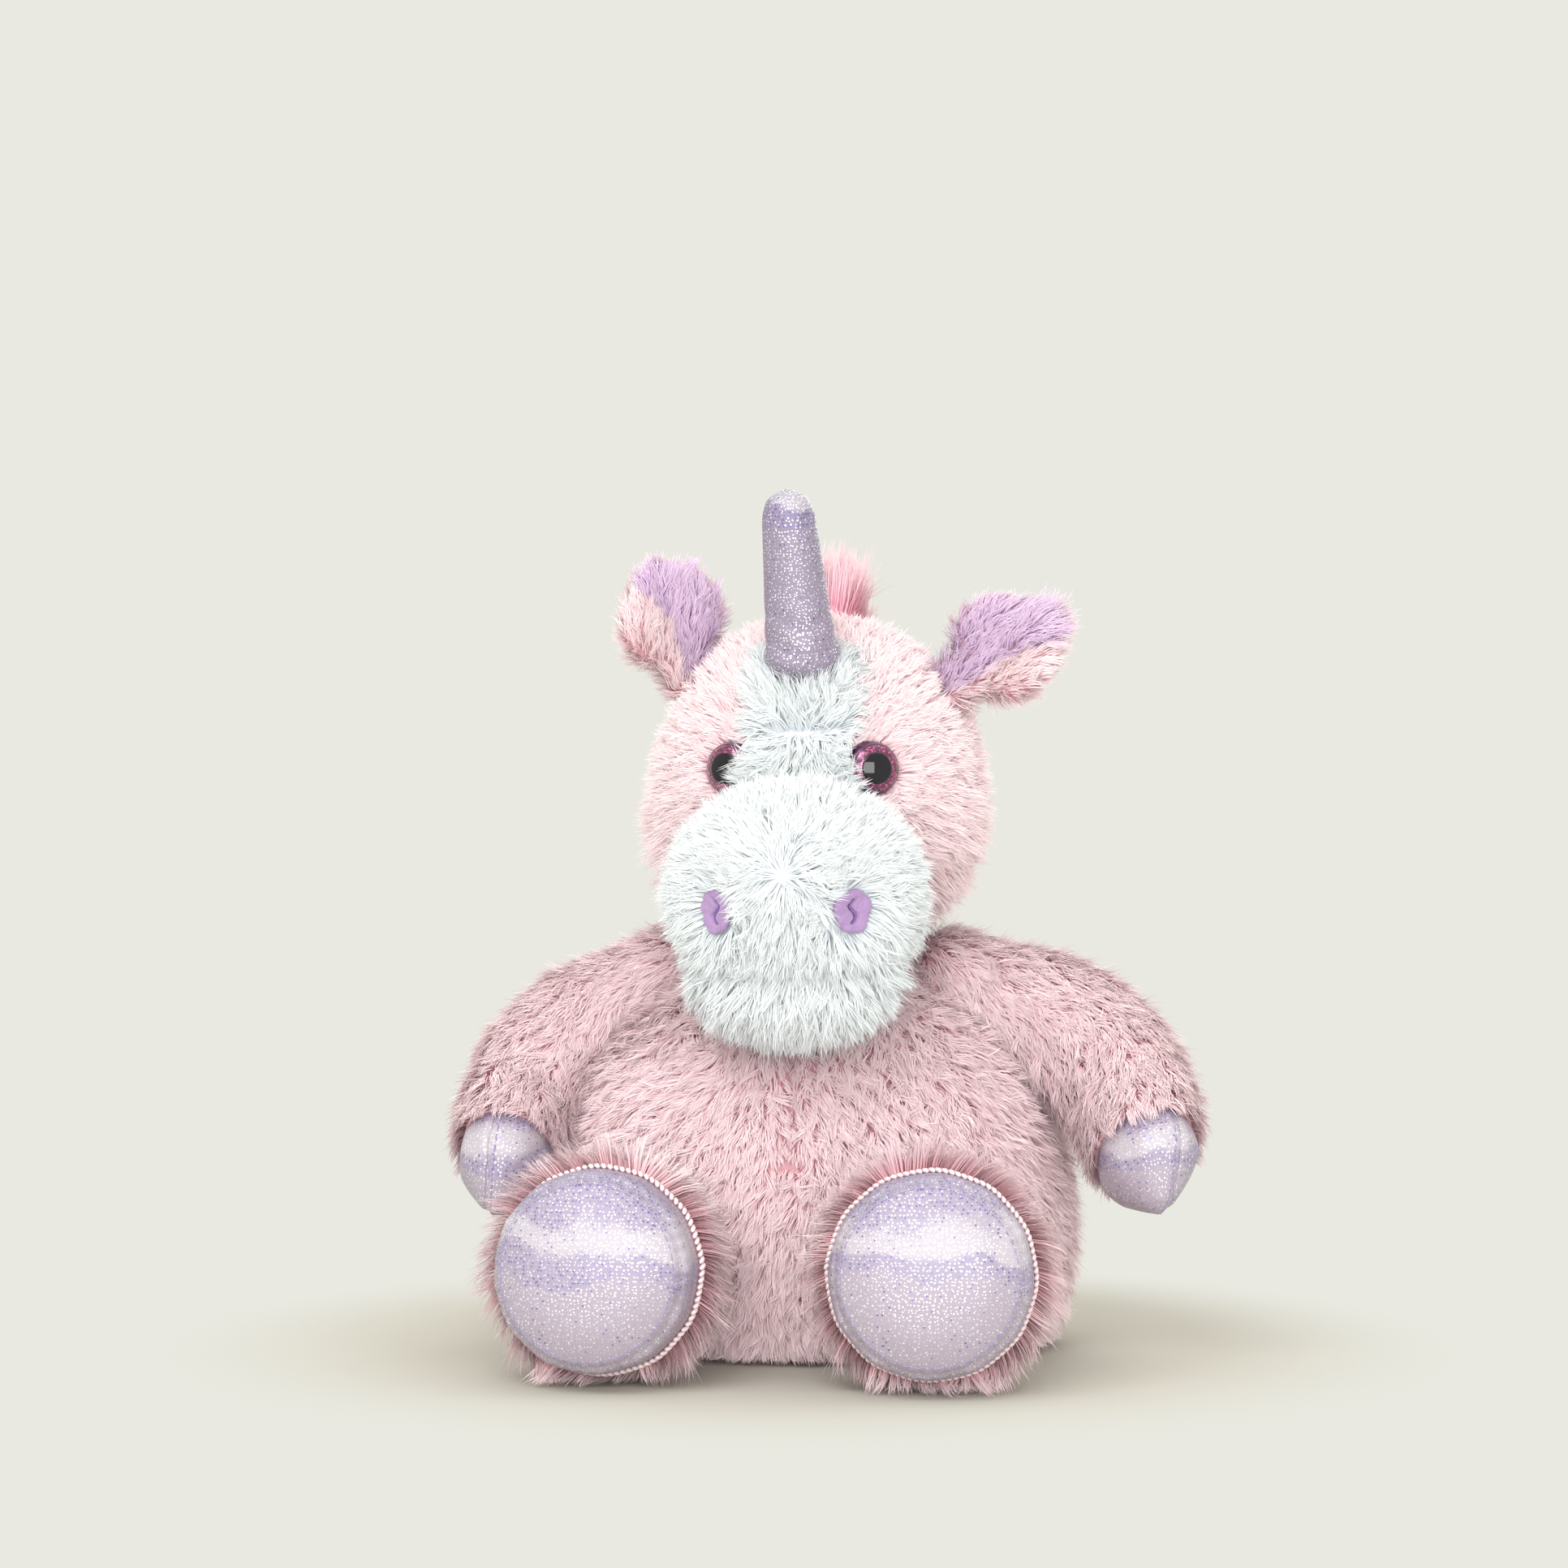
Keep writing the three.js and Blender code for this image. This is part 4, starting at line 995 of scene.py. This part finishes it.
# ---------- Legs ----------
for side, sign in SIDES.items():
    form = forms[f"leg_{side}"]
    body = f"leg_{side}"
    hip = cad_points(f"hip_stuffing_{side}").mean(0)
    sole_middle, way = disc_frame(f"foot_sole_{side}", hip)
    band = cad_points(f"foot_band_{side}")
    back = ((band - hip) @ way).min()
    seam_at = hip + way * back
    axis_at = hip + way * ((sole_middle - hip) @ way)
    level, climb = side_axes(way)
    sleeve_mesh = cut(form, seam_at, way, keep_front=False)
    foot = subdivided(cut(form, seam_at, way))
    co = points_of(foot)
    off = co - axis_at
    deep, spread = split_off(off, way)
    wide = np.linalg.norm(spread, axis=1)
    rim = 34.0 * MM
    on_sole = deep > -9 * MM
    angle = np.arctan2(off @ climb, off @ level)
    on_rim = np.exp(-(((wide - rim) / (1.5 * MM)) ** 2)) * on_sole
    pucker = np.sin(angle * 46) * 0.25 * np.exp(-(((wide - rim) / (3 * MM)) ** 2)) * on_sole
    at_seam = np.exp(-(((co - seam_at) @ way / (2.5 * MM)) ** 2))
    crown = 3.0 * np.clip(1 - (wide / rim) ** 2, 0, 1) * on_sole
    inset = normals_of(foot) * (0.9 * on_rim + pucker + 1.0 * at_seam)[:, None]
    set_points(foot, co + (way * crown[:, None] - inset) * MM)
    foot = cloth_map(foot, (level, climb), axis_at, way, 36)
    # The height across the sole places the glitter's painted highlight in its upper part, with painted
    # reflection below it.
    foot = highlight_band_map(foot, 0.5 + (points_of(foot) - axis_at) @ climb / (2 * rim))
    tree = tree_of(foot)
    inside = (f"foot_band_{side}", f"foot_sole_{side}")
    finished(f"foot_form_{side}", thick(foot, 1.2), "glitter_cloth", body, inside)

    def on_foot(angle_deg, radius):
        a = math.radians(angle_deg)
        start = axis_at + (level * math.cos(a) + climb * math.sin(a)) * radius * MM + way * 40 * MM
        return tree.ray_cast(start, -way, 0.08)

    dashes = []
    for start in np.arange(0, 360, 6.4):
        hits = [on_foot(angle, 31.2) for angle in np.linspace(start, start + 4.0, 5)]
        dashes += stitch_over(hits)
    finished(f"sole_stitches_{side}", tubes(dashes, 0.24), "violet_thread", body)

    # Overlocked edge where the band meets the plush.
    loops = []
    for start in np.arange(0, 360, 3.6):
        path, ups = [], []
        for step in np.linspace(-1, 1, 6):
            a = math.radians(start + step * 1.6)
            out = level * math.cos(a) + climb * math.sin(a)
            at = seam_at + way * (step * 2.2 + 0.6) * MM
            place, normal, _, _ = trees[f"leg_{side}"].ray_cast(at + out * 60 * MM, -out, 0.06)
            if place is None:
                break
            path.append(np.array(place) + out * (0.5 + 0.5 * (1 - step * step)) * MM)
            ups.append(out)
        if len(path) == 6:
            loops.append((np.array(path), np.array(ups)))
    node = f"foot_seam_{side}"
    finished(f"foot_overlock_{side}", tubes(loops, 0.95), "pale_thread", body, (node,))

    # The leg's pile ends in a fringe round the foot.
    roots, normals, _ = rooted(sleeve_mesh, 1.65, ["torso"])
    deep, spread = split_off(roots - hip, way)
    ahead = deep / back
    radial = unit(spread)
    push = 0.8 - 0.75 * np.clip((ahead - 0.6) / 0.3, 0, 1)
    comb = way * push[:, None] + radial * 0.5 + [sign * 0.25, 0, -0.6]
    comb += stray(roots, 22) * 0.25
    lean = 52 - 14 * np.clip((ahead - 0.75) / 0.25, 0, 1)
    fringe = 3.5 * np.clip((ahead - 0.8) / 0.15, 0, 1)
    made = strands(roots, normals, comb, 12.5 + fringe, lean=lean)
    pile(f"leg_pile_{side}", made, "body_plush", body)
    inside = (f"leg_sleeve_{side}", f"leg_stuffing_{side}")
    finished(f"leg_form_{side}", thick(sleeve_mesh, 1.6), "backing", body, inside)
    ball, node = f"hip_{side}", f"hip_stuffing_{side}"
    finished(f"hip_form_{side}", forms[ball], "backing", ball, (node,))

# ---------- Tail and horn ----------
roots, normals, _ = rooted(forms["tail"], 1.6, ["torso"])
comb = np.zeros_like(roots) + [0, 0.35, -1]
made = strands(roots, normals, comb, 16.0, lean=60, clump=50)
pile("tail_hair", made, "mane_hair", "tail")
finished("tail_form", forms["tail"], "backing", "tail", ("tail",))

horn = subdivided(forms["horn"])
co = points_of(horn)
level, climb = side_axes(horn_way)
off = co - horn_foot
height = off @ horn_way
angle = np.arctan2(off @ climb, off @ level)
ripple = 0.35 * np.sin(height / MM * 0.55 + 2 * np.sin(angle * 2)) * np.exp(-((height / MM - 10) / 14) ** 2)
set_points(horn, co + normals_of(horn) * ripple[:, None] * MM)
horn = cloth_map(horn, (level, climb), horn_foot, horn_way, 11)
# The glitter's painted highlight lies at the horn's top, with painted reflection in violet below it.
horn = highlight_band_map(horn, 0.62 + (height / height.max() - 0.95) * 1.1)
finished("horn_form", horn, "horn_glitter", "horn", ("horn_cover", "horn_stuffing"))

# ---------- Eyes ----------
BEAD = 10.0  # radius of the eye's bead
for side in SIDES:
    middle, axis = eyes[side]
    base = middle - axis * 1.5 * MM

    def bead(radius, lift=0.0, rise=5.6):
        return rise * math.sqrt(max(0, 1 - (radius / (BEAD + 0.4)) ** 2)) + 1.0 + lift

    rim = [(8.6, -1.5), (10.3, -1.5), (10.5, 0.0), (10.3, 1.2), (9.8, 2.1)]
    rim += [(9.2, bead(9.2)), (8.6, bead(8.6, -0.3)), (8.5, 0.0)]
    ring = [(5.8, 0.5), (8.7, 0.5)] + [(r, bead(r, -0.06)) for r in np.linspace(8.7, 5.8, 8)]
    core = [(0.0, 0.5), (5.9, 0.5)] + [(r, bead(r)) for r in np.linspace(5.9, 0.0, 10)]
    parts = (
        ("rim", rim, "rim_plastic", "black_plastic", ("back",)),
        ("ring", ring, "pink_glitter", "pink_glitter", ("iris", "dome")),
        ("core", core, "black_plastic", "black_plastic", ("pupil",)),
    )
    for name, profile, material, slot, cad in parts:
        eye_nodes = [f"eye_{piece}_{side}" for piece in cad]
        finished(f"eye_{name}_{side}", turned(profile, base, axis), material, "head", eye_nodes)

# ---------- Nostrils and mouth ----------
for side, sign in SIDES.items():
    middle, axis = nostrils[side]
    level, climb = side_axes(axis)
    dish = [(0.01, -2.0), (7.6, -1.4), (8.1, -0.5), (8.0, 0.2), (7.5, 0.7)]
    dish += [(r, 0.9 - 0.5 * math.exp(-((r / 4) ** 2))) for r in np.linspace(7.0, 0.01, 22)]
    felt = turned(dish, middle + axis * 1.0 * MM, axis, 80)
    co = points_of(felt)
    off = co - middle
    u, v = off @ level / MM, off @ climb / MM
    wide, turn = np.hypot(u, v), np.arctan2(v, u)
    crease = np.exp(-(((u - sign * 1.5 * np.sin(v * 0.75)) / 1.1) ** 2))
    crease *= np.clip((5.4 - np.abs(v)) / 1.5, 0, 1)
    folds = 0.35 * np.sin(7 * turn + 2 * np.sin(turn)) * (wide / 8) ** 2
    uneven = 0.4 * np.sin(3 * turn + sign) + 0.25 * np.sin(5 * turn)
    top = off @ axis > 0
    co = co + axis * ((folds - 2.2 * crease) * top)[:, None] * MM
    outwards = level * np.cos(turn)[:, None] + climb * np.sin(turn)[:, None]
    co = co + outwards * (uneven * wide / 8)[:, None] * MM
    set_points(felt, co)
    finished(f"nostril_felt_{side}", felt, "felt", "head", (f"nostril_{side}",))
    reach = np.linspace(-4.4, 4.4, 13)
    path = middle + level * (sign * 1.5 * np.sin(reach * 0.75) * MM)[:, None] + climb * (reach * MM)[:, None]
    path = path + axis * (0.3 + 0.5 * (np.abs(reach) / 4.4) ** 4)[:, None] * MM
    thread = tubes([(path, np.repeat(axis[None], len(path), 0))], 0.42)
    node = f"nostril_thread_{side}"
    finished(f"nostril_stitch_{side}", thread, "purple_thread", "head", (node,))

mouth = cad_points("mouth_thread")
middle = mouth.mean(0)
half = (mouth[:, 0].max() - mouth[:, 0].min()) / 2
across = np.linspace(-1, 1, 9)
path = np.stack([middle[0] + across * half, middle[1] + 0 * across, middle[2] - 1.2 * MM * across**2], 1)
thread = tubes([(path, np.repeat([[0, -1.0, 0]], 9, 0))], 0.7)
finished("mouth_stitch", thread, "white_thread", "head", ("mouth_thread",))

# ---------- Care label: a blank folded tab ----------
low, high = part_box("care_label")
label = remeshed(["care_label"], 0.45)
co = points_of(label)
droop = (co[:, 2] - low.z) / (high.z - low.z)
co[:, 1] += 1.4 * MM * np.sin(droop * math.pi) * np.cos((co[:, 0] - low.x) / (high.x - low.x) * math.pi)
set_points(label, co)
finished("care_label_tab", smooth_shaded(label), "satin", "torso", ("care_label",))

# ---------- CAD nodes that stay ----------
for name, obj in nodes.items():
    if not obj.hide_render:
        obj.data.materials.clear()
        obj.data.materials.append(MATERIALS["clip_plastic"])

# ---------- Stage, light and camera ----------
BACKGROUND = srgb(233, 233, 225)
bm = bmesh.new()
bmesh.ops.create_grid(bm, x_segments=1, y_segments=1, size=12)
floor = new_object("floor", to_mesh(bm))
s = Shader("floor", (0.57, 0.55, 0.49, 1), 0.9, Specular_IOR_Level=0.0)
glow = s.add("ShaderNodeEmission", Color=BACKGROUND, Strength=1.0)
reach = s.add("ShaderNodeVectorMath", operation="LENGTH")
s.join(s.place(), reach.inputs[0])
blend = s.add("ShaderNodeMixShader")
s.join(s.ramp(reach.outputs["Value"], 0.15, 0.26), blend.inputs[0])
s.join(s.bsdf.outputs[0], blend.inputs[1])
s.join(glow.outputs[0], blend.inputs[2])
s.join(blend.outputs[0], s.nodes["Material Output"].inputs["Surface"])
floor.data.materials.append(s.material)
floor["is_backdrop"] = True

world = bpy.data.worlds.new("studio")
scene.world = world
world.use_nodes = True
sky = world.node_tree.nodes["Background"]
sky.inputs["Color"].default_value = BACKGROUND
sky.inputs["Strength"].default_value = 1.0


AIM = Vector((0, 0, 0.14))


def facing_along(way):
    return Vector(way).to_track_quat("-Z", "Y").to_euler()


def softbox(name, place, size, power):
    """A rectangular light that faces the toy's middle."""
    data = bpy.data.lights.new(name, "AREA")
    data.shape = "RECTANGLE"
    data.size, data.size_y = size
    data.energy = power
    obj = new_object(name, data)
    obj.location = place
    obj.rotation_euler = facing_along(AIM - Vector(place))


softbox("key", (-0.35, -1.15, 1.25), (1.1, 0.7), 10.0)
softbox("fill", (0.3, -1.75, 0.25), (1.8, 1.1), 37.0)
softbox("top", (0.2, 0.1, 1.5), (1.2, 1.2), 3.0)
softbox("back", (0.3, 1.7, 0.8), (1.6, 1.0), 10.0)

camera_data = bpy.data.cameras.new("camera")
camera_data.sensor_width = 36
camera_data.lens = 4783 / 1932 * camera_data.sensor_width
camera = new_object("camera", camera_data)
camera.location = (0.1830, -1.4908, 0.209)
camera.rotation_euler = facing_along((-0.1281, 0.9918, 0.0044))
scene.camera = camera
scene.view_settings.view_transform = "Standard"
scene.view_settings.look = "None"

low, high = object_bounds()
